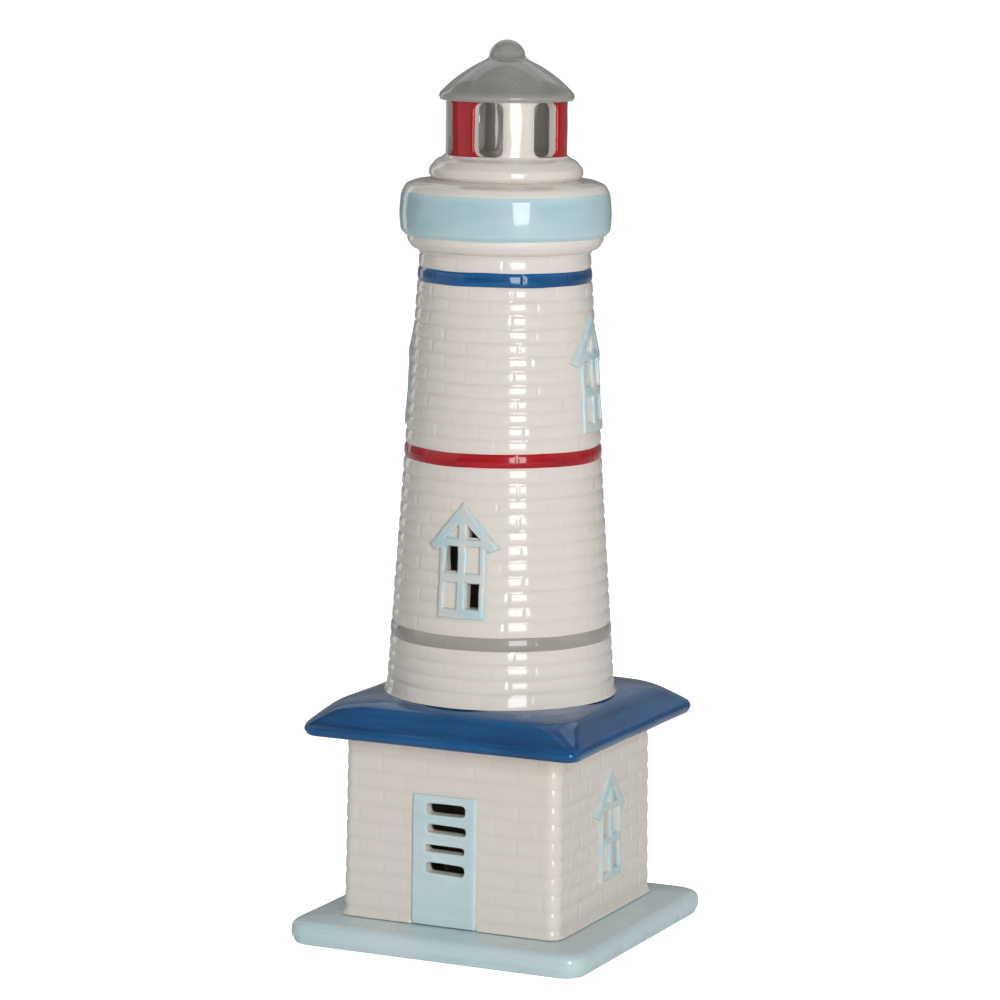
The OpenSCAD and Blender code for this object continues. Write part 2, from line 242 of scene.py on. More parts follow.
class Net:
    """The node tree of one finish."""

    def __init__(self, name):
        self.material = bpy.data.materials.new(OWN + name)
        self.material.use_nodes = True
        self.tree = self.material.node_tree
        self.tree.nodes.clear()
        self.shader = self.tree.nodes.new("ShaderNodeBsdfPrincipled")
        output = self.tree.nodes.new("ShaderNodeOutputMaterial")
        self.tree.links.new(self.shader.outputs[0], output.inputs["Surface"])
        self.place = self.node("ShaderNodeTexCoord", output="Object")

    def node(self, kind, settings=None, inputs=None, output=0):
        """Adds a node, sets it, links or fills its sockets, and returns one of its outputs."""
        made = self.tree.nodes.new(kind)
        for key, value in (settings or {}).items():
            setattr(made, key, value)
        for key, value in (inputs or {}).items():
            if isinstance(value, Link):
                self.tree.links.new(value.socket, made.inputs[key])
            else:
                made.inputs[key].default_value = value
        return Link(self, made.outputs[output])

    def mix(self, factor, first, second):
        """Mix of two colours."""
        made = self.tree.nodes.new("ShaderNodeMix")
        made.data_type = "RGBA"
        for socket, value in zip((0, 6, 7), (factor, first, second)):
            if isinstance(value, Link):
                self.tree.links.new(value.socket, made.inputs[socket])
            else:
                made.inputs[socket].default_value = value
        return Link(self, made.outputs[2])

    def cloud(self, scale, detail=2.0, stretch=(1, 1, 1)):
        """Noise from 0 to 1; scale counts its swells in a metre, and stretch multiplies it by axis."""
        place = self.node(
            "ShaderNodeMapping", inputs={"Vector": self.place, "Scale": tuple(scale * s for s in stretch)}
        )
        return self.node(
            "ShaderNodeTexNoise", inputs={"Vector": place, "Scale": 1.0, "Detail": detail}, output="Fac"
        )

    def mark(self, name):
        """One of the piece's own attributes."""
        return self.node("ShaderNodeAttribute", {"attribute_name": name}, output="Fac")

    def finish(self, rough, bumps, **fixed):
        """Sets roughness, the bump from (height, distance) pairs, and the sockets that stay the same."""
        if isinstance(rough, Link):
            self.tree.links.new(rough.socket, self.shader.inputs["Roughness"])
        else:
            self.shader.inputs["Roughness"].default_value = rough
        normal = None
        for height, distance in bumps:
            inputs = {"Height": height, "Distance": distance, "Strength": 1.0}
            if normal:
                inputs["Normal"] = normal
            normal = self.node("ShaderNodeBump", inputs=inputs)
        if normal:
            self.tree.links.new(normal.socket, self.shader.inputs["Normal"])
        for name, value in fixed.items():
            self.shader.inputs[name.replace("_", " ")].default_value = value
        return self.material

    def paint(self, colour_link):
        """Sets the base colour."""
        self.tree.links.new(colour_link.socket, self.shader.inputs["Base Color"])


def rgba(value):
    """A colour property with its alpha."""
    return (*value, 1.0)


def scaled(value, share):
    """A colour made darker or lighter."""
    return tuple(min(1.0, c * share) for c in value)


GLOSS = {"Specular_IOR_Level": 0.1, "Coat_Weight": 1.0, "Coat_Roughness": 0.065, "Coat_IOR": 1.46, "IOR": 1.5}


def glaze_colour(net, thin, pool, base, streak, patch, brush):
    """Glaze colour: thicker in hollows, thinner on ridges, uneven all over."""
    hollow = net.mark("hollow")
    ridge = net.mark("ridge")
    swell = net.cloud(38, 3)
    depth = base + hollow * 0.75 + (swell - 0.5) * patch
    if brush:
        depth = depth + (net.cloud(140, 3, streak) - 0.5) * brush
    body = net.mix(depth.clamped(), rgba(thin), rgba(pool))
    light = rgba(scaled(thin, 1.22))
    return net.mix((ridge * (0.35 + 0.4 * net.cloud(150, 2))).clamped(), body, light)


def glaze(name, thin, pool, base=0.0, patch=0.35, brush=0.0, streak=(1, 1, 1), specks=0.0, clay=None,
          over=None):
    """A glossy glaze.

    base is its mean thickness, specks darkens small spots, clay bares the underside, and over paints more
    on top.
    """
    net = Net(name)
    shade = glaze_colour(net, thin, pool, base, streak, patch, brush)
    if specks:
        spots = net.cloud(1500, 2).between(0.58, 0.70)
        shade = net.mix(spots * specks, shade, rgba(scaled(pool, 0.45)))
    rough = 0.20 + 0.16 * net.cloud(60, 3)
    if over:
        shade = over(net, shade)
    if clay:
        facing = net.node("ShaderNodeNewGeometry", output="Normal")
        down = net.node("ShaderNodeSeparateXYZ", inputs={0: facing}, output="Z").between(-0.80, -0.97)
        grain = net.cloud(1400, 3)
        shade = net.mix(down, shade, net.mix(grain, rgba(clay), rgba(scaled(clay, 0.8))))
        rough = rough + down * 0.5
    net.paint(shade)
    peel = net.cloud(420, 2)
    swell = net.cloud(95, 2)
    return net.finish(rough, [(swell, 0.00009), (peel, 0.00001)], **GLOSS)


def white_glaze():
    """White glaze over cast clay, faintly warm where it pools."""
    colours = bpy.context.scene.glaze_colours
    return glaze("white_glaze", colours.white, colours.white_pool, patch=0.22, specks=0.05)


def pale_blue_glaze():
    """Pale blue glaze, washed on by brush, with a bare clay underside."""
    colours = bpy.context.scene.glaze_colours
    return glaze("pale_blue_glaze", colours.pale_blue, colours.pale_blue_pool, base=0.15, patch=0.5,
                 brush=0.8, streak=(0.25, 0.25, 1.6), clay=colours.clay)


def pale_blue_band():
    """Pale blue glaze laid on thick round the gallery."""
    colours = bpy.context.scene.glaze_colours
    return glaze("pale_blue_band", colours.pale_blue, colours.pale_blue_pool, base=0.75, patch=0.5, brush=0.8,
                 streak=(0.3, 0.3, 1.2))


def pale_blue_wash():
    """Pale blue glaze washed over white on the window frames, thin on their raised parts."""
    colours = bpy.context.scene.glaze_colours

    def over(net, shade):
        thin = net.cloud(150, 3).between(0.36, 0.66) * 0.65 + net.mark("ridge") * 0.2
        thin = (thin - net.mark("hollow") * 0.6).clamped()
        return net.mix(thin, shade, rgba(scaled(colours.white, 0.97)))

    return glaze("pale_blue_wash", colours.pale_blue, colours.pale_blue_pool, base=0.6, brush=0.5, over=over)


def deep_blue_glaze():
    """Deep blue glaze in brush strokes that run along the eaves."""
    colours = bpy.context.scene.glaze_colours
    return glaze("deep_blue_glaze", colours.deep_blue, colours.deep_blue_pool, base=0.45, patch=1.2,
                 brush=2.4, streak=(0.14, 0.14, 3.0), clay=colours.clay)


def red_glaze():
    """Red glaze."""
    colours = bpy.context.scene.glaze_colours
    return glaze("red_glaze", colours.red, colours.red_pool, base=0.5, patch=1.2, brush=0.8,
                 streak=(0.3, 0.3, 2))


def red_post_glaze():
    """Red glaze on a post's outer face, with white sides and back."""
    colours = bpy.context.scene.glaze_colours
    rim = bpy.context.scene.lantern_sizes.radius

    def over(net, shade):
        flat = net.node("ShaderNodeVectorMath", {"operation": "MULTIPLY"}, {0: net.place, 1: (1, 1, 0)})
        away = net.node("ShaderNodeVectorMath", {"operation": "LENGTH"}, {0: flat}, output="Value")
        ragged = away + (net.cloud(500, 2) - 0.5) * (0.4 * MM)
        outer = ragged.between(rim - 1.1 * MM, rim - 0.7 * MM)
        return net.mix(outer, rgba(scaled(colours.white, 0.92)), shade)

    return glaze("red_post_glaze", colours.red, colours.red_pool, base=0.2, patch=0.8,
                 brush=0.8, streak=(1.5, 1.5, 0.3), over=over)


def grey_glaze():
    """Grey glaze with fine specks."""
    colours = bpy.context.scene.glaze_colours
    return glaze("grey_glaze", colours.grey, colours.grey_pool, base=0.3, patch=0.9, brush=1.2,
                 streak=(0.6, 0.6, 0.6), specks=0.3)


def grey_course_wash():
    """Thin grey glaze, uneven from brick to brick."""
    colours = bpy.context.scene.glaze_colours
    return glaze("grey_course_wash", colours.grey_wash, colours.grey_pool, base=0.1, patch=0.7, brush=0.8,
                 streak=(0.4, 0.4, 1.5))


def bare_clay():
    """Fired clay with no glaze on it."""
    colours = bpy.context.scene.glaze_colours
    net = Net("bare_clay")
    grain = net.cloud(1500, 4)
    patch = net.cloud(70, 3)
    shade = net.mix(patch, rgba(colours.clay), rgba(scaled(colours.clay, 0.86)))
    net.paint(net.mix(grain.between(0.55, 0.75) * 0.5, shade, rgba(scaled(colours.clay, 0.6))))
    return net.finish(0.78 + 0.15 * patch, [(grain, 0.00006)], IOR=1.5)


def aluminium():
    """Thin drawn foil with faint upright draw lines."""
    colours = bpy.context.scene.glaze_colours
    net = Net("cup_aluminium")
    lines = net.cloud(1600, 2, (1, 1, 0.04))
    smudge = net.cloud(120, 3)
    net.paint(net.mix(lines, rgba(colours.metal), rgba(scaled(colours.metal, 0.86))))
    return net.finish(0.24 + 0.2 * smudge, [(lines, 0.00004)], Metallic=1.0)


def candle_wax():
    """Soft white wax."""
    colours = bpy.context.scene.glaze_colours
    net = Net("candle_wax")
    swell = net.cloud(110, 3)
    fine = net.cloud(900, 3)
    net.paint(net.mix(swell, rgba(colours.wax), rgba(scaled(colours.wax, 0.93))))
    return net.finish(0.42 + 0.16 * fine, [(swell, 0.00025), (fine, 0.00003)], IOR=1.45,
                      Subsurface_Weight=0.25, Subsurface_Scale=0.004)


def wick_cotton():
    """Braided cotton, stiff with wax."""
    colours = bpy.context.scene.glaze_colours
    net = Net("wick_cotton")
    fibre = net.cloud(5200, 3, (1, 1, 0.35))
    net.paint(net.mix(fibre, rgba(colours.cotton), rgba(scaled(colours.cotton, 0.7))))
    return net.finish(0.7 + 0.2 * fibre, [(fibre, 0.00012)], IOR=1.45)


FINISHES = {
    "white_glaze": white_glaze,
    "pale_blue_glaze": pale_blue_glaze,
    "pale_blue_band": pale_blue_band,
    "pale_blue_wash": pale_blue_wash,
    "deep_blue_glaze": deep_blue_glaze,
    "red_glaze": red_glaze,
    "red_post_glaze": red_post_glaze,
    "grey_glaze": grey_glaze,
    "grey_course_wash": grey_course_wash,
    "bare_clay": bare_clay,
    "cup_aluminium": aluminium,
    "candle_wax": candle_wax,
    "wick_cotton": wick_cotton,
}


def finish_named(name):
    """The material of that name, made the first time it is asked for."""
    return bpy.data.materials.get(OWN + name) or FINISHES[name]()


# ---------------------------------------------------------------- mesh helpers


def mark_hollows(bm, reach):
    """Writes to each vertex how hollow and how ridged the surface is there; reach is a radius."""
    hollow = bm.verts.layers.float.new("hollow")
    ridge = bm.verts.layers.float.new("ridge")
    bm.normal_update()
    bends = {}
    for v in bm.verts:
        total = 0.0
        for e in v.link_edges:
            way = e.other_vert(v).co - v.co
            total += way.dot(v.normal) / max(way.length_squared, 1e-10)
        bends[v] = max(-1.5, min(1.5, 2 * reach * total / max(len(v.link_edges), 1)))
    for v in bm.verts:
        near = [bends[e.other_vert(v)] for e in v.link_edges]
        bend = (bends[v] + sum(near)) / (1 + len(near))
        v[hollow] = max(0.0, min(1.0, bend))
        v[ridge] = max(0.0, min(1.0, -bend))


def make_piece(name, bm, body, nodes, finish, reach=1.2 * MM, sharp=42):
    """Turns a bmesh into a named piece that rides on a body and stands for CAD nodes."""
    bmesh.ops.remove_doubles(bm, verts=bm.verts, dist=MERGE)
    bmesh.ops.recalc_face_normals(bm, faces=bm.faces)
    mark_hollows(bm, reach)
    mesh = bpy.data.meshes.new(name)
    bm.to_mesh(mesh)
    bm.free()
    mesh.shade_smooth()
    mesh.set_sharp_from_angle(angle=math.radians(sharp))
    mesh.materials.append(finish_named(finish))
    piece = bpy.data.objects.new(name, mesh)
    bpy.context.scene.collection.objects.link(piece)
    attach(piece, body)
    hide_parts(*nodes)


def wire(bm, points, closed=True):
    """Adds a line through points and returns its edges."""
    verts = [bm.verts.new(p) for p in points]
    ends = zip(verts, verts[1:] + verts[:1]) if closed else zip(verts, verts[1:])
    return [bm.edges.new(pair) for pair in ends]


def rounded_section(corners, closed=True, segments=5, longest=2.5 * MM):
    """Rounds a section's corners. corners holds (across, height, rounding); returns (across, height)."""
    out = []
    count = len(corners)
    for i, (a, h, r) in enumerate(corners):
        here = Vector((a, h))
        if not r:
            out.append(here)
            continue
        before = (Vector(corners[i - 1][:2]) - here)
        after = (Vector(corners[(i + 1) % count][:2]) - here)
        half = before.angle(after) / 2
        cut = min(r / math.tan(half), 0.49 * before.length, 0.49 * after.length)
        r = cut * math.tan(half)
        centre = here + (before.normalized() + after.normalized()).normalized() * (r / math.sin(half))
        start, end = here + before.normalized() * cut, here + after.normalized() * cut
        for k in range(segments + 1):
            way = (start - centre).lerp(end - centre, k / segments)
            out.append(centre + way.normalized() * r)
    dense = []
    pairs = list(zip(out, out[1:] + out[:1])) if closed else list(zip(out, out[1:]))
    for a, b in pairs:
        steps = max(1, math.ceil((b - a).length / longest))
        dense += [a.lerp(b, k / steps) for k in range(steps)]
    if not closed:
        dense.append(out[-1])
    return dense


def spin_section(bm, points, steps=192, closed=True, angle=FULL_TURN, start=0.0):
    """Turns a section of (radius, height) points about the upright axis."""
    edges = wire(bm, [(r, 0, z) for r, z in points], closed)
    verts = list(dict.fromkeys(v for e in edges for v in e.verts))
    bmesh.ops.rotate(bm, verts=verts, cent=(0, 0, 0), matrix=Matrix.Rotation(start, 3, "Z"))
    bmesh.ops.spin(bm, geom=verts + edges, cent=(0, 0, 0), axis=UP, dvec=(0, 0, 0), angle=angle,
                   steps=steps, use_merge=angle >= FULL_TURN)


def soften(bm, amount, swell):
    """Moves every point a little, as hand finishing does."""
    for v in bm.verts:
        v.co += noise.noise_vector(v.co / swell) * amount


def smooth_step(value):
    """Smooth rise from 0 to 1 as value goes from 0 to 1."""
    value = max(0.0, min(1.0, value))
    return value * value * (3 - 2 * value)


def inside(point, polygon):
    """True if a flat point is inside a convex polygon that runs anticlockwise."""
    return depth_in(point, polygon) > 0


def depth_in(point, polygon):
    """How far a flat point is inside a convex polygon that runs anticlockwise."""
    least = math.inf
    for a, b in zip(polygon, polygon[1:] + polygon[:1]):
        way = (b - a).normalized()
        side = way.x * (point.y - a.y) - way.y * (point.x - a.x)
        least = min(least, side)
    return least


# ---------------------------------------------------------------- window pattern


def box_2d(x_low, x_high, z_low, z_high):
    """Corners of an upright rectangle, anticlockwise."""
    return [Vector(p) for p in ((x_low, z_low), (x_high, z_low), (x_high, z_high), (x_low, z_high))]


def window_lights():
    """The six lights of a window, as anticlockwise outlines: {name: points}."""
    w = bpy.context.scene.window_sizes
    mullion = w.width / 2 - w.stile - w.pane_width
    lights = {}
    for row, level in ((0, "low"), (1, "high")):
        z = w.rail + row * (w.pane_height + w.rail)
        lights[level + "_left"] = box_2d(-mullion - w.pane_width, -mullion, z, z + w.pane_height)
        lights[level + "_right"] = box_2d(mullion, mullion + w.pane_width, z, z + w.pane_height)
    z = 2 * (w.rail + w.pane_height) + w.gable_rail
    lights["gable_right"] = [Vector((mullion, z)), Vector((mullion + w.pane_width, z)),
                             Vector((mullion, z + w.pane_width))]
    lights["gable_left"] = [Vector((-mullion - w.pane_width, z)), Vector((-mullion, z)),
                            Vector((-mullion, z + w.pane_width))]
    return lights


PIERCED = ("high_left", "low_right", "gable_right")


def window_outline():
    """The outside of a window frame, anticlockwise."""
    w = bpy.context.scene.window_sizes
    side, tip, eaves = w.width / 2, w.eaves_width / 2, w.height - w.gable_height
    cut = eaves - w.board_cut
    return [Vector(p) for p in (
        (-side, 0), (side, 0), (side, eaves - 0.6 * MM), (tip - w.board, cut), (tip, eaves), (0, w.height),
        (-tip, eaves), (w.board - tip, cut), (-side, eaves - 0.6 * MM),
    )]


def window_cover():
    """Two convex outlines that together cover a window: its lower square and its gable."""
    w = bpy.context.scene.window_sizes
    eaves = w.height - w.gable_height
    tip = w.eaves_width / 2
    return [
        box_2d(-w.width / 2, w.width / 2, 0, eaves + MM),
        [Vector((-tip, eaves - w.board_cut)), Vector((tip, eaves - w.board_cut)),
         Vector((tip, eaves)), Vector((0, w.height)), Vector((-tip, eaves))],
    ]


class Site:
    """A flat drawing board stood upright against a wall: x runs sideways and y runs up."""

    def __init__(self, facing, z, sideways=0.0):
        self.back = Matrix.Rotation(facing, 4, "Z") @ Matrix.Translation((sideways, 0, z))
        self.into = self.back.inverted()

    def flat(self, co):
        """Place of a point on the board."""
        local = self.into @ co
        return Vector((local.x, local.z))

    def in_front(self, co):
        """True for a point on the side of the axis that the board faces."""
        return (self.into @ co).y < 0


def tower_sites():
    """Where the tower's windows stand: {node: site}."""
    w = bpy.context.scene.window_sizes
    foot = BOXES["tower_shell"][0].z
    names = ("tower_window_front", "tower_window_right", "tower_window_back", "tower_window_left")
    return {
        name: Site(math.radians(90 * side) + w.turn_on_tower, foot + (w.high_z if side % 2 else w.low_z))
        for side, name in enumerate(names)
    }


def house_sites():
    """Where the house's windows stand: {node: site}."""
    sites = {}
    for name, facing in (("house_window_right", 90), ("house_window_left", -90), ("house_window_back", 180)):
        low, high = BOXES[name]
        middle = (low + high) / 2
        turned = Matrix.Rotation(math.radians(-facing), 4, "Z") @ middle
        sites[name] = Site(math.radians(facing), low.z, turned.x)
    return sites


def cut_light(bm, site, outline, past=2.6 * MM):
    """Cuts a convex outline right through a wall, and closes the sides of the hole."""
    low = Vector((min(p.x for p in outline) - past, min(p.y for p in outline) - past))
    high = Vector((max(p.x for p in outline) + past, max(p.y for p in outline) + past))

    def near():
        found = []
        for f in bm.faces:
            co = f.calc_center_median()
            if not site.in_front(co):
                continue
            p = site.flat(co)
            if low.x < p.x < high.x and low.y < p.y < high.y:
                found.append(f)
        return found

    turned = site.back.to_3x3()
    patch = near()
    for a, b in zip(outline, outline[1:] + outline[:1]):
        across = turned @ Vector((b.y - a.y, 0, a.x - b.x))
        geom = dict.fromkeys(patch)
        geom.update(dict.fromkeys(e for f in patch for e in f.edges))
        geom.update(dict.fromkeys(v for f in patch for v in f.verts))
        corner = site.back @ Vector((a.x, 0, a.y))
        cut = bmesh.ops.bisect_plane(bm, geom=list(geom), dist=2 * MERGE, plane_co=corner, plane_no=across)
        patch = [g for g in cut["geom"] if isinstance(g, bmesh.types.BMFace)]
    gone = [f for f in patch if f.is_valid and inside(site.flat(f.calc_center_median()), outline)]
    bmesh.ops.delete(bm, geom=gone, context="FACES")
    rims = [e for e in bm.edges if len(e.link_faces) == 1]
    bmesh.ops.bridge_loops(bm, edges=rims)


def frame_mesh(outline, holes, depth, edge, column):
    """A flat frame with holes, edge rounded on its face and cut into columns so that it can bend.

    It lies in the XZ plane with its face towards -Y, at y = -depth, and its back at y = 0.
    """
    bm = bmesh.new()
    edges = wire(bm, [(p.x, 0, p.y) for p in outline])
    for hole in holes:
        edges += wire(bm, [(p.x, 0, p.y) for p in hole])
    bmesh.ops.triangle_fill(bm, use_beauty=True, use_dissolve=False, edges=edges, normal=(0, -1, 0))
    made = bmesh.ops.extrude_face_region(bm, geom=bm.faces[:])
    face_verts = [g for g in made["geom"] if isinstance(g, bmesh.types.BMVert)]
    bmesh.ops.translate(bm, verts=face_verts, vec=(0, -depth, 0))
    bm.normal_update()
    on_face = set(face_verts)
    rims = [e for e in bm.edges if e.verts[0] in on_face and e.verts[1] in on_face
            and len(e.link_faces) == 2 and e.calc_face_angle(0) > 1]
    bmesh.ops.bevel(bm, geom=rims, offset=edge, offset_type="OFFSET", affect="EDGES", segments=4,
                    profile=0.5, material=-1, clamp_overlap=True, loop_slide=False)
    reach = max(p.x for p in outline)
    for axis, low, high in ((0, -reach, reach), (2, min(p.y for p in outline), max(p.y for p in outline))):
        steps = math.ceil((high - low) / column)
        for i in range(1, steps):
            point, way = Vector(), Vector()
            point[axis] = low + (high - low) * i / steps
            way[axis] = 1
            bmesh.ops.bisect_plane(bm, geom=bm.verts[:] + bm.edges[:] + bm.faces[:], dist=MERGE,
                                   plane_co=point, plane_no=way)
    return bm


# ---------------------------------------------------------------- tower


class Course:
    """One course of bricks round a wall."""

    def __init__(self, index, low, high, around, brick, painted=False):
        self.index, self.low, self.high, self.painted = index, low, high, painted
        self.count = max(4, round(around / brick))
        self.shift = (index % 2) * 0.5 + 0.16 * noise.noise(Vector((index * 3.7, 1.3, 0.4)))

    def joint_gap(self, turned):
        """Distance from the nearest upright joint, as a share of a brick; turned is 0 to 1 round the wall."""
        along = turned * self.count + self.shift
        gap = math.inf
        for k in (math.floor(along), math.floor(along) + 1):
            stray = 0.11 * noise.noise(Vector((self.index * 1.9, (k % self.count) * 2.3, 7.1)))
            gap = min(gap, abs(along - k - stray))
        return gap, math.floor(along) % self.count


ROWS = (0.0, 0.10, 0.24, 0.50, 0.76, 0.90)
STEPS_ROUND = 400


def tower_radius(z):
    """Outside radius of the tower at a height."""
    low, high = BOXES["tower_shell"]
    top = bpy.context.scene.lantern_sizes.tower_top
    return high.x + (top - high.x) * (z - low.z) / (high.z - low.z)


def tower_courses():
    """Every course of the tower from its foot up; a painted one has a piece of its own."""
    low, high = BOXES["tower_shell"]
    brick = bpy.context.scene.brick_sizes.tower_length
    levels = [low.z]
    painted = set()
    for node, rows_below in (("grey_course", 4), ("red_course", 11), ("blue_course", 12)):
        under, over = BOXES[node]
        start = levels[-1]
        levels += [start + (under.z - start) * (k + 1) / rows_below for k in range(rows_below)]
        painted.add(len(levels) - 1)
        levels.append(over.z)
    levels.append(high.z)
    return [
        Course(i, a, b, FULL_TURN * tower_radius((a + b) / 2), brick, i in painted)
        for i, (a, b) in enumerate(zip(levels, levels[1:]))
    ]


def cover_of(co, sites, covers):
    """1 under a window and 0 on open wall, with a short soft edge."""
    for site in sites:
        if not site.in_front(co):
            continue
        p = site.flat(co)
        for outline in covers:
            inner = depth_in(p, outline)
            if inner > -1.2 * MM:
                return smooth_step((inner + 1.2 * MM) / (1.0 * MM))
    return 0.0


def wall_relief(course, share, gap, brick, sizes, course_depth, joint_depth):
    """How far a brick wall's surface lies in from its face."""
    height = course.high - course.low
    from_seam = min(share, 1 - share) * height
    seam = (1 - smooth_step(from_seam / (1.15 * sizes.seam))) * 0.62
    belly = abs(2 * share - 1) ** 2.4 * 0.38
    level = course_depth * (seam + belly)
    upright = joint_depth * (1 - smooth_step(gap / sizes.seam))
    lean = 0.11 * MM * noise.noise(Vector((course.index * 5.1, brick * 3.3, 2.2)))
    upright *= 0.75 + 0.5 * noise.noise(Vector((course.index * 2.7, brick * 1.7, share + 4.4)))
    return max(level, upright * (1 - 0.4 * seam)) + 0.25 * min(level, upright) + 0.05 * MM + lean


def waver(turned, z, amount, low, high):
    """Up and down wander of a course line."""
    edge = smooth_step(min(z - low, high - z) / (5 * MM))
    spot = Vector((math.cos(turned * FULL_TURN) * 2.6, math.sin(turned * FULL_TURN) * 2.6, z / (9 * MM)))
    return amount * edge * noise.noise(spot)


def shape_tower_wall(bm, courses):
    """Gives a tower wall its bricks, and a small spread at its foot."""
    sizes = bpy.context.scene.brick_sizes
    low, high = BOXES["tower_shell"]
    sites, covers = list(tower_sites().values()), window_cover()
    for v in bm.verts:
        away = math.hypot(v.co.x, v.co.y)
        face = tower_radius(v.co.z)
        turned = math.atan2(v.co.y, v.co.x) / FULL_TURN % 1.0
        z = v.co.z
        if away > face - WALL_SKIN:
            course = next((c for c in courses if z < c.high - 1e-7), courses[-1])
            share = min(1.0, max(0.0, (z - course.low) / (course.high - course.low)))
            gap, brick = course.joint_gap(turned)
            gap *= FULL_TURN * face / course.count
            relief = wall_relief(course, share, gap, brick, sizes, sizes.tower_seam_depth,
                                 sizes.tower_joint_depth)
            foot = smooth_step((z - low.z) / (5 * MM))
            relief *= 0.15 + 0.85 * foot
            under = cover_of(v.co, sites, covers)
            relief = relief * (1 - under) + UNDER_FRAME * under
            above_foot = (z - low.z) / (2.4 * MM)
            if above_foot < 1:
                relief -= 0.8 * MM * (1 - above_foot) ** 2
            factor = (face - relief) / away
            v.co.x *= factor
            v.co.y *= factor
        v.co.z = z + waver(turned, z, sizes.waver, low.z, high.z) * (1 if away > face - 2 * MM else 0)


def cut_levels(bm, wanted, levels):
    """Cuts a section's lines at each level, where wanted says yes to both ends of the line."""
    for z in levels:
        edges = [e for e in bm.edges if all(wanted(v.co) for v in e.verts)]
        verts = list(dict.fromkeys(v for e in edges for v in e.verts))
        bmesh.ops.bisect_plane(bm, geom=verts + edges, dist=MERGE, plane_co=(0, 0, z), plane_no=UP)


def on_tower_face(co):
    """True for a point of a section that lies on the outside of the tower."""
    return co.x > tower_radius(co.z) - 0.6 * MM


class LIGHTHOUSE_OT_tower_wall(bpy.types.Operator):
    """Build the tapered brick wall of the tower, with its pierced window lights"""

    bl_idname = "lighthouse.tower_wall"
    bl_label = "Tower wall"

    def execute(self, context):
        low, high = BOXES["tower_shell"]
        wall = context.scene.lantern_sizes.wall
        courses = tower_courses()
        points = [(tower_radius(low.z), low.z)]
        for c in courses:
            if c.painted:
                inner = tower_radius(c.high) - PAINT_DEPTH
                points += [(tower_radius(c.low), c.low), (inner, c.low),
                           (inner, c.high), (tower_radius(c.high), c.high)]
        points += [(tower_radius(high.z), high.z), (tower_radius(high.z) - wall, high.z)]
        lights = window_lights()
        inner_levels = sorted({
            site.back.translation.z + z
            for site in tower_sites().values() for z in (k * 4 * MM for k in range(9))
        })
        bm = bmesh.new()
        wire(bm, [(r, 0, z) for r, z in points + [(tower_radius(low.z) - wall, low.z)]])
        levels = []
        for c in courses:
            if not c.painted:
                levels += [c.low + (c.high - c.low) * row for row in ROWS]
        cut_levels(bm, on_tower_face, levels[1:])
        cut_levels(bm, lambda co: co.x < tower_radius(co.z) - wall / 2, inner_levels)
        bmesh.ops.spin(bm, geom=bm.verts[:] + bm.edges[:], cent=(0, 0, 0), axis=UP, dvec=(0, 0, 0),
                       angle=FULL_TURN, steps=STEPS_ROUND, use_merge=True)
        bmesh.ops.remove_doubles(bm, verts=bm.verts, dist=MERGE)
        bmesh.ops.recalc_face_normals(bm, faces=bm.faces)
        shape_tower_wall(bm, courses)
        for site in tower_sites().values():
            for name in PIERCED:
                cut_light(bm, site, lights[name])
        make_piece("tower_brick_wall", bm, TOWER, ["tower_shell"], "white_glaze", reach=0.9 * MM)
        return {"FINISHED"}


class LIGHTHOUSE_OT_painted_courses(bpy.types.Operator):
    """Build the grey, red and blue courses that ring the tower"""

    bl_idname = "lighthouse.painted_courses"
    bl_label = "Painted courses"

    def execute(self, context):
        courses = tower_courses()
        finishes = iter((("grey_course", "grey_course_wash"), ("red_course", "red_glaze"),
                         ("blue_course", "deep_blue_glaze")))
        for course in (c for c in courses if c.painted):
            node, finish = next(finishes)
            inner = tower_radius(course.high) - PAINT_DEPTH
            bm = bmesh.new()
            wire(bm, [(inner, 0, course.low), (tower_radius(course.low), 0, course.low),
                      (tower_radius(course.high), 0, course.high), (inner, 0, course.high)])
            cut_levels(bm, on_tower_face,
                       [course.low + (course.high - course.low) * row for row in ROWS[1:]])
            bmesh.ops.spin(bm, geom=bm.verts[:] + bm.edges[:], cent=(0, 0, 0), axis=UP, dvec=(0, 0, 0),
                           angle=FULL_TURN, steps=STEPS_ROUND, use_merge=True)
            bmesh.ops.remove_doubles(bm, verts=bm.verts, dist=MERGE)
            shape_tower_wall(bm, courses)
            for v in bm.verts:
                if math.hypot(v.co.x, v.co.y) > inner + 0.5 * MM:
                    v.co.x *= 1.003
                    v.co.y *= 1.003
            slot = "grey_glaze" if finish == "grey_course_wash" else finish
            make_piece(node + "_bricks", bm, TOWER, [node], finish, reach=0.9 * MM)
        return {"FINISHED"}


class LIGHTHOUSE_OT_tower_windows(bpy.types.Operator):
    """Build the pale blue window frames that bend round the tower"""

    bl_idname = "lighthouse.tower_windows"
    bl_label = "Tower windows"

    def execute(self, context):
        edge = context.scene.window_sizes.edge
        for node, site in tower_sites().items():
            bm = frame_mesh(window_outline(), list(window_lights().values()), 1.75 * MM, edge, 1.3 * MM)
            soften(bm, 0.24 * MM, 4.5 * MM)
            for v in bm.verts:
                proud = -v.co.y - 0.75 * MM
                world = site.back @ Vector((v.co.x, 0, v.co.z))
                away = tower_radius(world.z) + proud
                v.co.y = -math.sqrt(away * away - v.co.x * v.co.x)
            bm.transform(site.back)
            make_piece(node + "_frame", bm, TOWER, [node], "pale_blue_wash",
                       reach=0.5 * MM, sharp=55)
        return {"FINISHED"}


# ---------------------------------------------------------------- house


def square_place(c, base, half, base_corner, corner):
    """Moves one coordinate of a round-cornered square from half-width base to half."""
    flat = base - base_corner
    if abs(c) <= flat:
        return c * (half - corner) / flat
    return math.copysign(half - corner + (abs(c) - flat) * corner / base_corner, c)


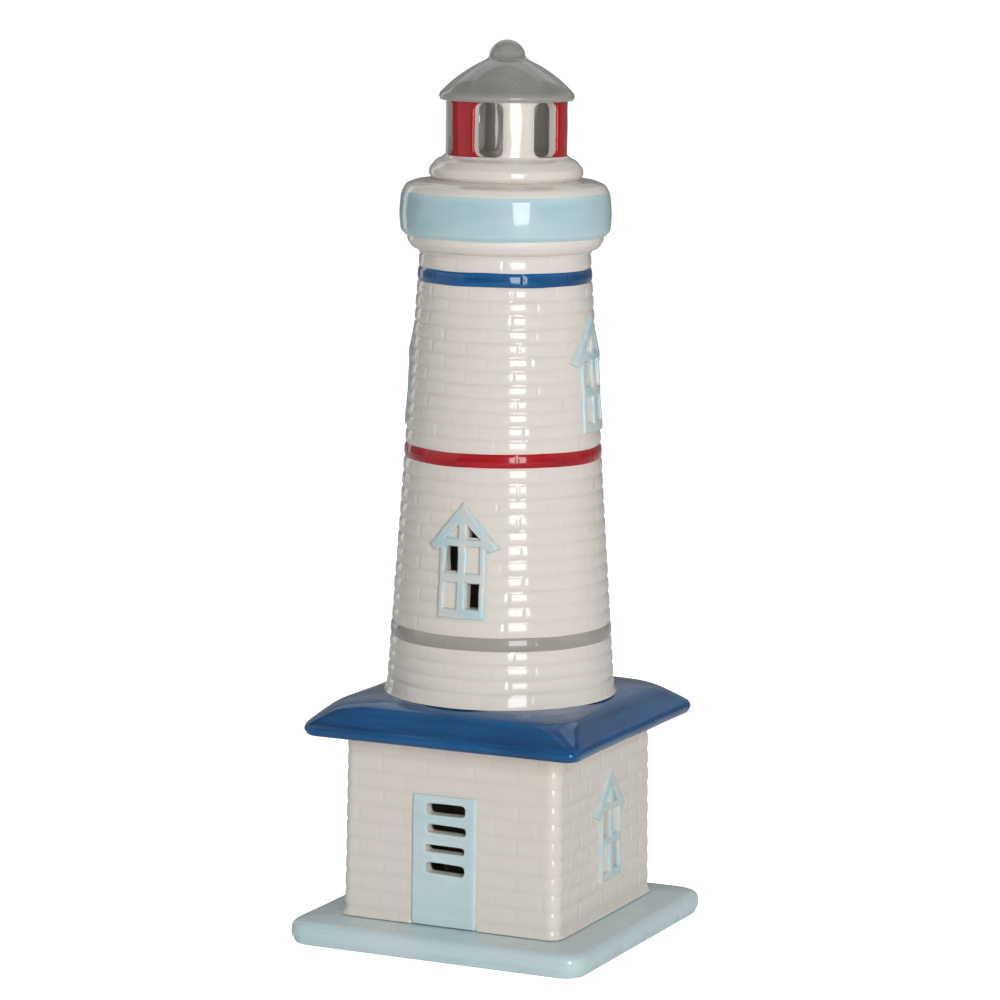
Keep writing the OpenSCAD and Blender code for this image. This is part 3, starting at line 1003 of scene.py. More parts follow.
def block_walls(bm, section, corner, cuts):
    """Walls of a round-cornered square body, one ring for each (half-width, height) of the section."""
    base = section[0][0]
    bmesh.ops.create_grid(bm, x_segments=1, y_segments=1, size=base)
    bmesh.ops.bevel(bm, geom=bm.verts[:], offset=corner, segments=8, profile=0.5, affect="VERTICES",
                    material=-1)
    sides = [e for e in bm.edges if e.calc_length() > corner]
    bmesh.ops.subdivide_edges(bm, edges=sides, cuts=cuts)
    bmesh.ops.delete(bm, geom=bm.faces[:], context="FACES_ONLY")
    loop = bm.edges[:]
    start = {v: v.co.copy() for v in bm.verts}
    first = None
    for step, level in enumerate(section):
        half, z = level[0], level[1]
        round_to = level[2] if len(level) > 2 else corner
        if step:
            grown = bmesh.ops.extrude_edge_only(bm, edges=loop)["geom"]
            fresh = [g for g in grown if isinstance(g, bmesh.types.BMVert)]
            moved = {}
            for v in fresh:
                old = min((e.other_vert(v) for e in v.link_edges if e.other_vert(v) in start),
                          key=lambda w: (w.co - v.co).length_squared)
                moved[v] = start[old]
            new = set(fresh)
            loop = [g for g in grown if isinstance(g, bmesh.types.BMEdge)
                    and g.verts[0] in new and g.verts[1] in new]
            start = moved
        for v, flat in start.items():
            v.co = (square_place(flat.x, base, half, corner, round_to),
                    square_place(flat.y, base, half, corner, round_to), z)
        if first is None:
            first = list(loop)
    return first, loop


def along_wall(co, base, corner):
    """Distance round a round-cornered square from the middle of its front, and the length of one side."""
    side_length = 2 * (base - corner) + math.pi * corner / 2
    side = round((math.atan2(co.y, co.x) + math.pi / 2) / (math.pi / 2)) % 4
    local = Matrix.Rotation(-side * math.pi / 2, 3, "Z") @ co
    along = local.x
    flat = base - corner
    if abs(along) > flat:
        bend = min(1.0, (abs(along) - flat) / corner)
        along = math.copysign(flat + corner * math.asin(bend), along)
    return side * side_length + along, 4 * side_length


def house_half(z):
    """Half the width of the house at a height."""
    low, high = BOXES["house_walls"]
    taper = 0.6 * MM
    return high.x - taper * (z - low.z) / (high.z - low.z)


def door_site():
    """Drawing board of the door."""
    low, high = BOXES["door_panel"]
    return Site(0.0, low.z, (low.x + high.x) / 2)


def squared_turn(angle, power):
    """A point of a round end made squarer by a power under 1."""
    return [math.copysign(abs(c) ** power, c) for c in (math.cos(angle), math.sin(angle))]


def slot_outlines():
    """The four slots of the door, each with round ends and a slight tilt."""
    d = bpy.context.scene.door_sizes
    low, high = BOXES["door_panel"]
    outlines = []
    shapes = ((3.8, 0.4, 0.0), (2.9, -1.2, 0.3), (2.4, -0.6, -0.2), (3.6, -1.5, -0.1))
    for i, (tall, tilt, shift) in enumerate(shapes):
        z = high.z - low.z - d.slot_drop - i * d.slot_pitch
        half = (d.slot_width - tall * MM) / 2
        r = tall * MM / 2
        points = []
        for centre, first in ((half, -90), (-half, 90)):
            for k in range(7):
                across, up = squared_turn(math.radians(first + 30 * k), 0.78)
                points.append(Vector((centre + across * r, up * r)))
        turned = Matrix.Rotation(math.radians(tilt), 2)
        outlines.append([turned @ p + Vector((d.slot_side + shift * MM, z)) for p in points])
    return outlines


def house_courses(corner):
    """Every course of the house from its foot up; the first is cut in half if the count calls for it."""
    sizes = bpy.context.scene.brick_sizes
    low, high = BOXES["house_walls"]
    count = round((high.z - low.z) / sizes.house_course * 2) / 2
    pitch = (high.z - low.z) / count
    around = 4 * (2 * (high.x - corner) + math.pi * corner / 2)
    courses = []
    z = low.z - pitch / 2 if count % 1 else low.z
    while z < high.z - MERGE:
        courses.append(Course(len(courses), z, z + pitch, around, sizes.house_length))
        z += pitch
    return courses


def house_section(courses, wall):
    """Section of the house wall: up its outside through every row of bricks, and down its inside."""
    low, high = BOXES["house_walls"]
    levels = sorted({
        round(min(high.z, max(low.z, c.low + (c.high - c.low) * row)), 7) for c in courses for row in ROWS
    } | {low.z, high.z, low.z + 0.5 * MM, low.z + 1.0 * MM})
    levels = [a for a, b in zip(levels, levels[1:] + [1]) if b - a > 0.2 * MM]
    inner_steps = 15
    inner_levels = [high.z + (low.z - high.z) * k / inner_steps for k in range(inner_steps + 1)]
    return [(house_half(z), z) for z in levels] + [(house_half(z) - wall, z, 2 * MM) for z in inner_levels]


def shape_house_wall(bm, courses, corner):
    """Gives the outside of the house its bricks, and a small spread at its foot."""
    sizes = bpy.context.scene.brick_sizes
    low, high = BOXES["house_walls"]
    sites, covers = list(house_sites().values()), window_cover()
    door_low, door_high = BOXES["door_panel"]
    door_half = (door_high.x - door_low.x) / 2
    door, door_cover = door_site(), box_2d(-door_half, door_half, 0, door_high.z - door_low.z)
    for v in bm.verts:
        face = house_half(v.co.z)
        bend_start = face - 2 * MM - corner
        in_corner = abs(v.co.x) > bend_start and abs(v.co.y) > bend_start
        if max(abs(v.co.x), abs(v.co.y)) < face - 1.6 * MM and not in_corner:
            continue
        along, around = along_wall(v.co, high.x, corner)
        course = next((c for c in courses if v.co.z < c.high - 1e-7), courses[-1])
        share = min(1.0, max(0.0, (v.co.z - course.low) / (course.high - course.low)))
        gap, brick = course.joint_gap(along / around)
        gap *= around / course.count
        relief = wall_relief(course, share, gap, brick, sizes, sizes.house_seam_depth,
                             sizes.house_seam_depth * 0.9)
        under = max(cover_of(v.co, sites, covers), cover_of(v.co, [door], [door_cover]))
        relief = relief * (1 - under) + UNDER_FRAME * under
        above_foot = (v.co.z - low.z) / (2.2 * MM)
        if above_foot < 1:
            relief -= 0.9 * MM * (1 - above_foot) ** 2 * (1 - under)
        flat = face - corner
        outward = Vector([math.copysign(abs(c) - flat, c) if abs(c) > flat else 0 for c in v.co.xy] + [0])
        v.co -= outward.normalized() * relief
        v.co.z += waver(along / around * 4, v.co.z, sizes.waver, low.z, high.z)


class LIGHTHOUSE_OT_house_walls(bpy.types.Operator):
    """Build the brick walls of the house, open inside and pierced at the windows and the door"""

    bl_idname = "lighthouse.house_walls"
    bl_label = "House walls"

    def execute(self, context):
        wall = context.scene.lantern_sizes.wall
        corner = 4 * MM
        courses = house_courses(corner)
        bm = bmesh.new()
        first, last = block_walls(bm, house_section(courses, wall), corner, 123)
        bmesh.ops.bridge_loops(bm, edges=first + last)
        bmesh.ops.recalc_face_normals(bm, faces=bm.faces)
        shape_house_wall(bm, courses, corner)
        lights = window_lights()
        for site in house_sites().values():
            for name in PIERCED:
                cut_light(bm, site, lights[name])
        door, slots = door_site(), slot_outlines()
        sides, heights = [p.x for slot in slots for p in slot], [p.y for slot in slots for p in slot]
        margin = 1.2 * MM
        hole = box_2d(min(sides) - margin, max(sides) + margin, min(heights) - margin, max(heights) + margin)
        cut_light(bm, door, hole)
        make_piece("house_brick_walls", bm, HOUSE, ["house_walls"], "white_glaze", reach=0.9 * MM)

        sunk = 0.6 * MM
        lining = frame_mesh(hole, slots, wall - sunk, 0.25 * MM, 4 * MM)
        bmesh.ops.translate(lining, verts=lining.verts, vec=(0, wall - sunk, 0))
        lining.transform(door.back)
        bmesh.ops.translate(lining, verts=lining.verts, vec=(0, BOXES["house_walls"][0].y + sunk, 0))
        make_piece("door_slot_lining", lining, HOUSE, ["house_walls"], "white_glaze", reach=0.5 * MM,
                   sharp=55)
        return {"FINISHED"}


class LIGHTHOUSE_OT_door(bpy.types.Operator):
    """Build the slotted door panel"""

    bl_idname = "lighthouse.door"
    bl_label = "Door"

    def execute(self, context):
        edge = context.scene.door_sizes.edge
        low, high = BOXES["door_panel"]
        half, tall = (high.x - low.x) / 2, high.z - low.z
        depth = 1.5 * MM
        bm = frame_mesh(box_2d(-half, half, 0, tall), slot_outlines(), depth, edge, 2.5 * MM)
        soften(bm, 0.12 * MM, 9 * MM)
        site = door_site()
        for v in bm.verts:
            face = house_half(low.z + v.co.z)
            v.co.y = -(face + 0.85 * MM) + (v.co.y + depth)
            v.co.z = max(0.0, v.co.z)
        bm.transform(site.back)
        make_piece("door_leaf", bm, HOUSE, ["door_panel"], "pale_blue_glaze", reach=0.6 * MM, sharp=55)
        return {"FINISHED"}


class LIGHTHOUSE_OT_house_windows(bpy.types.Operator):
    """Build the pale blue window frames on the sides and back of the house"""

    bl_idname = "lighthouse.house_windows"
    bl_label = "House windows"

    def execute(self, context):
        edge = context.scene.window_sizes.edge
        for node, site in house_sites().items():
            bm = frame_mesh(window_outline(), list(window_lights().values()), 1.7 * MM, edge, 2.0 * MM)
            soften(bm, 0.24 * MM, 4.5 * MM)
            for v in bm.verts:
                proud = -v.co.y - 0.7 * MM
                v.co.y = -(house_half(site.back.translation.z + v.co.z) + proud)
            bm.transform(site.back)
            make_piece(node + "_frame", bm, HOUSE, [node], "pale_blue_wash",
                       reach=0.5 * MM, sharp=55)
        return {"FINISHED"}


def fill_end(bm, loop, hole_radius=None, z=None):
    """Closes an end of a block, round a circular hole if a radius is given; returns the hole's edges."""
    rim = []
    edges = list(loop)
    if hole_radius:
        before = set(bm.edges)
        bmesh.ops.create_circle(bm, cap_ends=False, radius=hole_radius, segments=96,
                                matrix=Matrix.Translation((0, 0, z)))
        rim = [e for e in bm.edges if e not in before]
        edges += rim
    bmesh.ops.triangle_fill(bm, use_beauty=True, use_dissolve=False, edges=edges, normal=UP)
    return rim


class LIGHTHOUSE_OT_plinth(bpy.types.Operator):
    """Build the pale blue plinth"""

    bl_idname = "lighthouse.plinth"
    bl_label = "Plinth"

    def execute(self, context):
        low, high = BOXES["plinth"]
        half = high.x - 0.35 * MM
        bm = bmesh.new()
        corners = [
            (half - 6 * MM, low.z, 0), (half - 1.0 * MM, low.z, 1.0 * MM), (half, low.z + 3 * MM, 3 * MM),
            (half - 0.2 * MM, high.z - 1 * MM, 3.4 * MM), (half - 18 * MM, high.z, 0)]
        section = rounded_section(corners, closed=False, longest=1.6 * MM)
        first, last = block_walls(bm, section, 7 * MM, 44)
        fill_end(bm, first)
        fill_end(bm, last)
        for v in bm.verts:
            if v.co.z > low.z + 0.5 * MM:
                shove = noise.noise_vector(v.co / (24 * MM)) * (0.35 * MM)
                rise = smooth_step((v.co.z - low.z) / (4 * MM))
                v.co.x = max(low.x, min(high.x, v.co.x + shove.x * rise))
                v.co.y = max(low.y, min(high.y, v.co.y + shove.y * rise))
        make_piece("plinth_body", bm, HOUSE, ["plinth"], "pale_blue_glaze", reach=0.4 * MM)
        return {"FINISHED"}


class LIGHTHOUSE_OT_roof_slab(bpy.types.Operator):
    """Build the deep blue roof slab that the tower stands on, and the bare lip under it"""

    bl_idname = "lighthouse.roof_slab"
    bl_label = "Roof slab"

    def execute(self, context):
        low, high = BOXES["roof_slab"]
        half = high.x - 0.35 * MM
        top = half - 7.4 * MM
        lip_low, lip_high = BOXES["locating_lip"]
        corners = [
            (half - 7 * MM, low.z, 0), (half - 1.2 * MM, low.z, 1.3 * MM), (half, low.z + 2.2 * MM, 2.2 * MM),
            (half - 0.7 * MM, low.z + 4.2 * MM, 2.0 * MM), (top + 0.6 * MM, high.z - 1.5 * MM, 8.0 * MM),
            (top - 5.5 * MM, high.z - 0.05 * MM, 0)]
        section = rounded_section(corners, closed=False, longest=1.4 * MM)
        corner, spread = 4 * MM, 9 * MM
        slope = low.z + 3.5 * MM
        section = [(a, z, corner + spread * smooth_step((z - slope) / (high.z - slope))) for a, z in section]
        bm = bmesh.new()
        first, last = block_walls(bm, section, corner, 44)
        bore = lip_high.x - 4 * MM
        rims = fill_end(bm, first, bore, low.z) + fill_end(bm, last, bore, high.z)
        bmesh.ops.bridge_loops(bm, edges=rims)
        for v in bm.verts:
            away = max(abs(v.co.x), abs(v.co.y))
            if away > bore + 2 * MM:
                shove = noise.noise_vector(v.co / (22 * MM) + Vector((3, 1, 2))) * (0.40 * MM)
                v.co.x = max(low.x, min(high.x, v.co.x + shove.x))
                v.co.y = max(low.y, min(high.y, v.co.y + shove.y))
        make_piece("roof_slab_body", bm, TOWER, ["roof_slab"], "deep_blue_glaze", reach=0.4 * MM)
        lip = rounded_section(
            [(lip_high.x - 3 * MM, lip_low.z, 0.6 * MM), (lip_high.x, lip_low.z, 0.8 * MM),
             (lip_high.x, lip_high.z, 0), (lip_high.x - 3 * MM, lip_high.z, 0)], longest=2 * MM)
        lip_corner = 2 * MM
        rings = [(a, z, max(0.4 * MM, lip_corner - (lip_high.x - a) * 0.5)) for a, z in lip]
        rings[0] = (lip[0].x, lip[0].y, lip_corner)
        bm = bmesh.new()
        first, last = block_walls(bm, rings, lip_corner, 24)
        bmesh.ops.bridge_loops(bm, edges=first + last)
        soften(bm, 0.08 * MM, 8 * MM)
        make_piece("locating_lip_ring", bm, TOWER, ["locating_lip"], "bare_clay", reach=1.0 * MM)
        return {"FINISHED"}


# ---------------------------------------------------------------- gallery and lantern


def turned_ring(name, node, rim, corners, finish, soft=0.12):
    """A turned ring of the tower.

    corners holds (in from rim, up from the ring's foot, rounding). They and soft are in millimetres.
    """
    base = BOXES[node][0].z
    section = [(rim - inward * MM, base + up * MM, r * MM) for inward, up, r in corners]
    bm = bmesh.new()
    spin_section(bm, rounded_section(section, longest=1.5 * MM))
    bmesh.ops.remove_doubles(bm, verts=bm.verts, dist=MERGE)
    soften(bm, soft * MM, 14 * MM)
    make_piece(name, bm, TOWER, [node], finish, reach=1.6 * MM)


class LIGHTHOUSE_OT_gallery(bpy.types.Operator):
    """Build the white moulding, the pale blue band and the white deck of the gallery"""

    bl_idname = "lighthouse.gallery"
    bl_label = "Gallery"

    def execute(self, context):
        band = BOXES["gallery_band"][1].x
        turned_ring("gallery_moulding_ring", "gallery_moulding", band, [
            (10.8, 0, 0), (6.6, 0, 0), (6.1, 0.9, 0.6), (4.2, 1.6, 2.6), (2.7, 3.9, 2.2), (2.6, 5.8, 0),
            (6.6, 5.8, 0)], "white_glaze")
        turned_ring("gallery_band_ring", "gallery_band", band, [
            (5.0, 0, 0), (1.9, 0, 0.3), (0.45, 1.5, 2.4), (0.02, 7.0, 14), (0.55, 13.0, 3.0), (0.95, 14.4, 0),
            (5.0, 14.4, 0)], "pale_blue_band", soft=0.16)
        turned_ring("gallery_deck_ring", "gallery_deck", band, [
            (13.7, 0, 0), (1.0, 0, 0), (2.1, 2.2, 2.2), (5.2, 3.4, 4.0), (9.0, 3.75, 1.2), (10.2, 4.0, 0),
            (13.7, 4.0, 0)], "white_glaze", soft=0.18)
        turned_ring("lantern_step_ring", "lantern_step", BOXES["lantern_step"][1].x, [
            (4.0, 0, 0), (1.3, 0, 0.3), (0.05, 1.3, 1.4), (0.1, 3.5, 2.2), (2.3, 6.1, 4.0), (4.4, 7.1, 1.4),
            (5.3, 8.0, 0.2), (9.4, 8.0, 0.5), (9.4, 4.0, 0), (4.0, 3.0, 0)], "white_glaze", soft=0.14)
        return {"FINISHED"}


def lantern_post(sizes, low_z, high_z):
    """One post at bearing 0, its upright edges rounded and its ends flared into the rings it joins."""
    rim = sizes.radius - 0.05 * MM
    half_angle = sizes.post_angle / 2
    flare = 2.6 * MM
    section = rounded_section(
        [(rim - sizes.wall, low_z, 0), (rim, low_z, 0), (rim, high_z, 0), (rim - sizes.wall, high_z, 0)],
        longest=0.75 * MM)
    post = bmesh.new()
    spin_section(post, section, 14, angle=sizes.post_angle, start=-half_angle)
    ends = [e for e in post.edges if len(e.link_faces) == 1]
    bmesh.ops.holes_fill(post, edges=ends, sides=0)
    bmesh.ops.recalc_face_normals(post, faces=post.faces)
    upright = [e for e in post.edges if e.calc_face_angle(0) > 1.2
               and abs(e.verts[0].co.z - e.verts[1].co.z) > 0.3 * MM]
    bmesh.ops.bevel(post, geom=upright, offset=0.9 * MM, affect="EDGES", segments=4, profile=0.5, material=-1)
    for v in post.verts:
        near_end = min(v.co.z - low_z, high_z - v.co.z)
        if near_end < flare:
            bearing = math.atan2(v.co.y, v.co.x)
            away = math.hypot(v.co.x, v.co.y)
            lack = 1 - near_end / flare
            grown = flare * (1 - math.sqrt(max(0.0, 1 - lack * lack)))
            bearing += math.copysign(grown / away * min(1.0, abs(bearing) / half_angle), bearing)
            v.co.x, v.co.y = away * math.cos(bearing), away * math.sin(bearing)
    mesh = bpy.data.meshes.new("post")
    post.to_mesh(mesh)
    post.free()
    return mesh


class LIGHTHOUSE_OT_lantern_posts(bpy.types.Operator):
    """Build the white and the red posts between the lantern's openings"""

    bl_idname = "lighthouse.lantern_posts"
    bl_label = "Lantern posts"

    def execute(self, context):
        sizes = context.scene.lantern_sizes
        for kind, glaze_name, finish in ((0, "white", "white_glaze"), (1, "red", "red_post_glaze")):
            node = "lantern_posts_" + glaze_name
            low, high = BOXES[node]
            mesh = lantern_post(sizes, low.z, high.z)
            bm = bmesh.new()
            for i in range(3):
                bearing = sizes.first_post - math.pi / 2 + (2 * i + kind) * FULL_TURN / 6
                known = len(bm.verts)
                bm.from_mesh(mesh)
                bmesh.ops.rotate(bm, verts=bm.verts[known:], cent=(0, 0, 0),
                                 matrix=Matrix.Rotation(bearing, 3, "Z"))
            bpy.data.meshes.remove(mesh)
            soften(bm, 0.12 * MM, 7 * MM)
            make_piece(node + "_cast", bm, TOWER, [node], finish, reach=1.0 * MM)
        return {"FINISHED"}


class LIGHTHOUSE_OT_lantern_roof(bpy.types.Operator):
    """Build the grey domed lantern roof and its knob"""

    bl_idname = "lighthouse.lantern_roof"
    bl_label = "Lantern roof"

    def execute(self, context):
        s = context.scene.lantern_sizes
        low, high = BOXES["lantern_roof"]
        rim = high.x - 0.05 * MM
        knob_low, knob_high = BOXES["roof_knob"]
        knob = knob_high.x
        start = Vector((rim - 0.35 * MM, low.z + 2.3 * MM))
        end = Vector((knob, high.z))
        way = end - start
        half = way.length / 2
        out = Vector((way.y, -way.x)).normalized()
        centre = (start + end) / 2 - out * math.sqrt(s.dome_curve ** 2 - half * half)
        slope = []
        for k in range(25):
            ray = (start - centre).lerp(end - centre, k / 24)
            p = centre + ray.normalized() * s.dome_curve
            slope.append((p.x, p.y, 0))
        ceiling = rim - 2.3 * MM - s.wall
        bm = bmesh.new()
        corners = [
            (0, high.z - s.wall, 0), (knob / 2, high.z - s.wall, 0), (ceiling, low.z, 0.3 * MM),
            (rim - 0.6 * MM, low.z, 0.5 * MM), (rim, low.z + 1.2 * MM, 0.9 * MM)] + slope + [(0, high.z, 0)]
        section = rounded_section(corners, closed=False, longest=1.2 * MM)
        spin_section(bm, section, 192, closed=False)
        bmesh.ops.remove_doubles(bm, verts=bm.verts, dist=MERGE)
        soften(bm, 0.12 * MM, 9 * MM)
        make_piece("lantern_roof_dome", bm, TOWER, ["lantern_roof"], "grey_glaze", reach=2.0 * MM)
        middle, ball_radius = knob_high.z - knob, knob * 0.99
        angles = [math.radians(-40 + 130 * k / 28) for k in range(29)]
        ball = [(ball_radius * math.cos(a), middle + ball_radius * math.sin(a)) for a in angles]
        ball = [p for p in ball if p[1] > high.z + 1.3 * MM]
        ball[-1] = (0, ball[-1][1])
        foot = [(0, high.z - 0.8 * MM), (knob * 1.1, high.z - 0.8 * MM), (knob * 1.16, high.z - 0.35 * MM),
                (knob * 1.04, high.z + 0.15 * MM), (knob * 0.965, high.z + 0.9 * MM)]
        bm = bmesh.new()
        spin_section(bm, foot + ball, 96, closed=False)
        bmesh.ops.remove_doubles(bm, verts=bm.verts, dist=MERGE)
        make_piece("roof_knob_ball", bm, TOWER, ["roof_knob"], "grey_glaze", reach=1.6 * MM)
        return {"FINISHED"}


# ---------------------------------------------------------------- tealight


class LIGHTHOUSE_OT_tealight(bpy.types.Operator):
    """Build the tealight: foil cup, wax, wick and the foot that holds it"""

    bl_idname = "lighthouse.tealight"
    bl_label = "Tealight"

    def execute(self, context):
        low, high = BOXES["tealight_cup"]
        r = high.x
        foil = 0.3 * MM
        bm = bmesh.new()
        spin_section(bm, rounded_section([
            (0, low.z + 0.5 * MM, 0), (r * 0.62, low.z + 0.5 * MM, 0.4 * MM), (r * 0.66, low.z, 0.4 * MM),
            (r - 0.9 * MM, low.z, 0.9 * MM), (r - 0.45 * MM, high.z - 0.5 * MM, 0.2 * MM),
            (r - 0.02 * MM, high.z - 0.4 * MM, 0.2 * MM), (r - 0.02 * MM, high.z, 0.2 * MM),
            (r - 0.9 * MM, high.z, 0.25 * MM), (r - 0.9 * MM, low.z + foil, 0.8 * MM),
            (r * 0.66, low.z + foil, 0.3 * MM), (r * 0.62, low.z + 0.5 * MM + foil, 0.3 * MM),
            (0, low.z + 0.5 * MM + foil, 0)], closed=False, longest=2 * MM), 144, closed=False)
        bmesh.ops.remove_doubles(bm, verts=bm.verts, dist=MERGE)
        make_piece("tealight_foil_cup", bm, TEALIGHT, ["tealight_cup"], "cup_aluminium", reach=0.5 * MM)
        under, over = BOXES["tealight_wax"]
        wick_r = BOXES["wick"][1].x
        foot_low, foot_high = BOXES["wick_sustainer"]
        edge = over.x - 0.45 * MM
        bm = bmesh.new()
        spin_section(bm, rounded_section([
            (foot_high.x, under.z + 0.4 * MM, 0), (edge, under.z + 0.4 * MM, 1.0 * MM),
            (edge, over.z, 0.15 * MM),
            (edge - 0.7 * MM, over.z - 0.35 * MM, 0.5 * MM), (edge - 3 * MM, over.z - 0.6 * MM, 2 * MM),
            (wick_r + 3 * MM, over.z - 0.6 * MM, 2 * MM), (wick_r + 0.1 * MM, over.z - 0.05 * MM, 0.2 * MM),
            (wick_r + 0.1 * MM, foot_high.z, 0.2 * MM), (foot_high.x, foot_high.z, 0.3 * MM)],
            longest=1.2 * MM), 144)
        bmesh.ops.remove_doubles(bm, verts=bm.verts, dist=MERGE)
        soften(bm, 0.06 * MM, 6 * MM)
        make_piece("tealight_wax_fill", bm, TEALIGHT, ["tealight_wax"], "candle_wax", reach=1.5 * MM)
        foot_rim = foot_high.x - 0.4 * MM
        bm = bmesh.new()
        spin_section(bm, rounded_section([
            (wick_r + 0.02 * MM, foot_low.z + 0.4 * MM, 0), (foot_rim, foot_low.z + 0.4 * MM, 0.1 * MM),
            (foot_rim, foot_low.z + 0.7 * MM, 0.1 * MM), (wick_r + 1.0 * MM, foot_low.z + 0.9 * MM, 0.5 * MM),
            (wick_r + 0.35 * MM, foot_high.z, 0.1 * MM), (wick_r + 0.02 * MM, foot_high.z, 0)],
            longest=1 * MM), 96)
        bmesh.ops.remove_doubles(bm, verts=bm.verts, dist=MERGE)
        make_piece("wick_foot", bm, TEALIGHT, ["wick_sustainer"], "cup_aluminium", reach=0.4 * MM)
        wick_low, wick_high = BOXES["wick"]
        core = wick_r * 0.8
        bm = bmesh.new()
        spin_section(bm, rounded_section(
            [(0, wick_low.z, 0), (core, wick_low.z, 0.1 * MM), (core, wick_high.z - 0.3 * MM, 0.3 * MM),
             (0, wick_high.z - 0.1 * MM, 0)], closed=False, longest=0.3 * MM), 72, closed=False)
        bmesh.ops.remove_doubles(bm, verts=bm.verts, dist=MERGE)
        for v in bm.verts:
            bearing = math.atan2(v.co.y, v.co.x)
            rise = v.co.z - wick_low.z
            twist = rise * 2100
            strands = max(abs(math.sin(1.5 * bearing + twist)), abs(math.sin(1.5 * bearing - twist)))
            grow = 0.86 + 0.30 * strands
            v.co.x *= grow
            v.co.y *= grow
        make_piece("wick_braid", bm, TEALIGHT, ["wick"], "wick_cotton", reach=0.25 * MM)
        return {"FINISHED"}


# ---------------------------------------------------------------- stage


def softbox(name, power, size, place, target):
    """A rectangular area light that looks at target."""
    lamp = bpy.data.lights.new(name, "AREA")
    lamp.shape = "RECTANGLE"
    lamp.size, lamp.size_y = size
    lamp.energy = power
    light = bpy.data.objects.new(name, lamp)
    light.location = place
    light.rotation_euler = (Vector(target) - Vector(place)).to_track_quat("-Z", "Y").to_euler()
    bpy.context.scene.collection.objects.link(light)


def around(azimuth, elevation, distance, height):
    """A place at a bearing and elevation about the upright axis; azimuth 0 is in front."""
    a, e = math.radians(azimuth), math.radians(elevation)
    return Vector((math.sin(a) * math.cos(e), -math.cos(a) * math.cos(e), math.sin(e))) * distance \
        + Vector((0, 0, height))


def set_camera(scene, s):
    """The camera, turned about the point that it looks at."""
    a, e, r = s.azimuth, s.elevation, s.roll
    right = Vector((math.cos(a), math.sin(a), 0))
    back = Vector((math.sin(a) * math.cos(e), -math.cos(a) * math.cos(e), math.sin(e)))
    up = back.cross(right)
    x_axis = right * math.cos(r) + up * math.sin(r)
    y_axis = up * math.cos(r) - right * math.sin(r)
    data = bpy.data.cameras.new("camera")
    data.sensor_width = 36
    data.lens = s.lens
    data.clip_start, data.clip_end = 0.05, 50
    data.dof.use_dof = False
    camera = bpy.data.objects.new("camera", data)
    place = Matrix((x_axis, y_axis, back)).transposed().to_4x4()
    place.translation = right * s.target_side + UP * s.target_height + back * s.distance
    camera.matrix_world = place
    scene.collection.objects.link(camera)
    scene.camera = camera


def set_floor(scene):
    """A wide pale floor that looks as bright as the background."""
    bm = bmesh.new()
    bmesh.ops.create_circle(bm, cap_ends=True, radius=6, segments=96)
    mesh = bpy.data.meshes.new("floor")
    bm.to_mesh(mesh)
    bm.free()
    floor = bpy.data.objects.new("floor", mesh)
    scene.collection.objects.link(floor)
    net = Net("pale_floor")
    net.paint(net.mix(net.cloud(3, 2), (0.93, 0.93, 0.93, 1), (0.90, 0.90, 0.90, 1)))
    lift = net.node("ShaderNodeLightPath", output="Is Camera Ray")
    net.tree.links.new(net.mix(lift, (0, 0, 0, 1), (1, 1, 1, 1)).socket, net.shader.inputs["Emission Color"])
    mesh.materials.append(net.finish(0.9, [], Emission_Strength=0.90, IOR=1.3))


def set_lights(s):
    """A low key on the right, a wide light above, a strip at the back left, and three soft fills."""
    middle = (0, 0, 0.15)
    key, fill = math.degrees(s.key_azimuth), s.fill_power
    softbox("key_softbox", s.key_power, (0.44, 0.80), around(key, 13, 1.35, 0.06), middle)
    softbox("top_softbox", s.top_power, (3.0, 3.0), (0, 0.0, 2.2), middle)
    softbox("rim_strip", s.rim_power, (0.3, 1.2), around(-118, 12, 1.5, 0.15), middle)
    softbox("left_fill", fill, (1.5, 1.3), around(-55, 10, 1.6, 0.13), middle)
    softbox("right_fill", fill * 0.45, (1.3, 1.3), around(105, 12, 1.6, 0.15), middle)
    softbox("back_fill", fill * 1.1, (1.6, 0.9), around(205, 48, 1.7, 0.15), middle)


def set_sky(scene, s):
    """A sky that is brightest a little above the horizon; the camera sees plain white in its place."""
    world = bpy.data.worlds.new("studio")
    scene.world = world
    world.use_nodes = True
    tree = world.node_tree
    sky = tree.nodes["Background"]
    sky.inputs["Strength"].default_value = s.sky
    place = tree.nodes.new("ShaderNodeTexCoord")
    axes = tree.nodes.new("ShaderNodeSeparateXYZ")
    fade = tree.nodes.new("ShaderNodeValToRGB")
    stops = fade.color_ramp.elements
    stops[0].color = (0.50, 0.50, 0.50, 1)
    stops[1].position, stops[1].color = 0.92, (0.04, 0.04, 0.04, 1)
    for height, light in ((0.16, 0.55), (0.30, 1.15), (0.45, 1.0)):
        stop = stops.new(height)
        stop.color = (light, light, light, 1)
    tree.links.new(place.outputs["Generated"], axes.inputs[0])
    tree.links.new(axes.outputs["Z"], fade.inputs["Fac"])
    tree.links.new(fade.outputs[0], sky.inputs["Color"])
    seen = tree.nodes.new("ShaderNodeBackground")
    seen.inputs["Color"].default_value = (1, 1, 1, 1)
    seen.inputs["Strength"].default_value = 1.02
    ray = tree.nodes.new("ShaderNodeLightPath")
    blend = tree.nodes.new("ShaderNodeMixShader")
    tree.links.new(ray.outputs["Is Camera Ray"], blend.inputs[0])
    tree.links.new(sky.outputs[0], blend.inputs[1])
    tree.links.new(seen.outputs[0], blend.inputs[2])
    tree.links.new(blend.outputs[0], tree.nodes["World Output"].inputs[0])


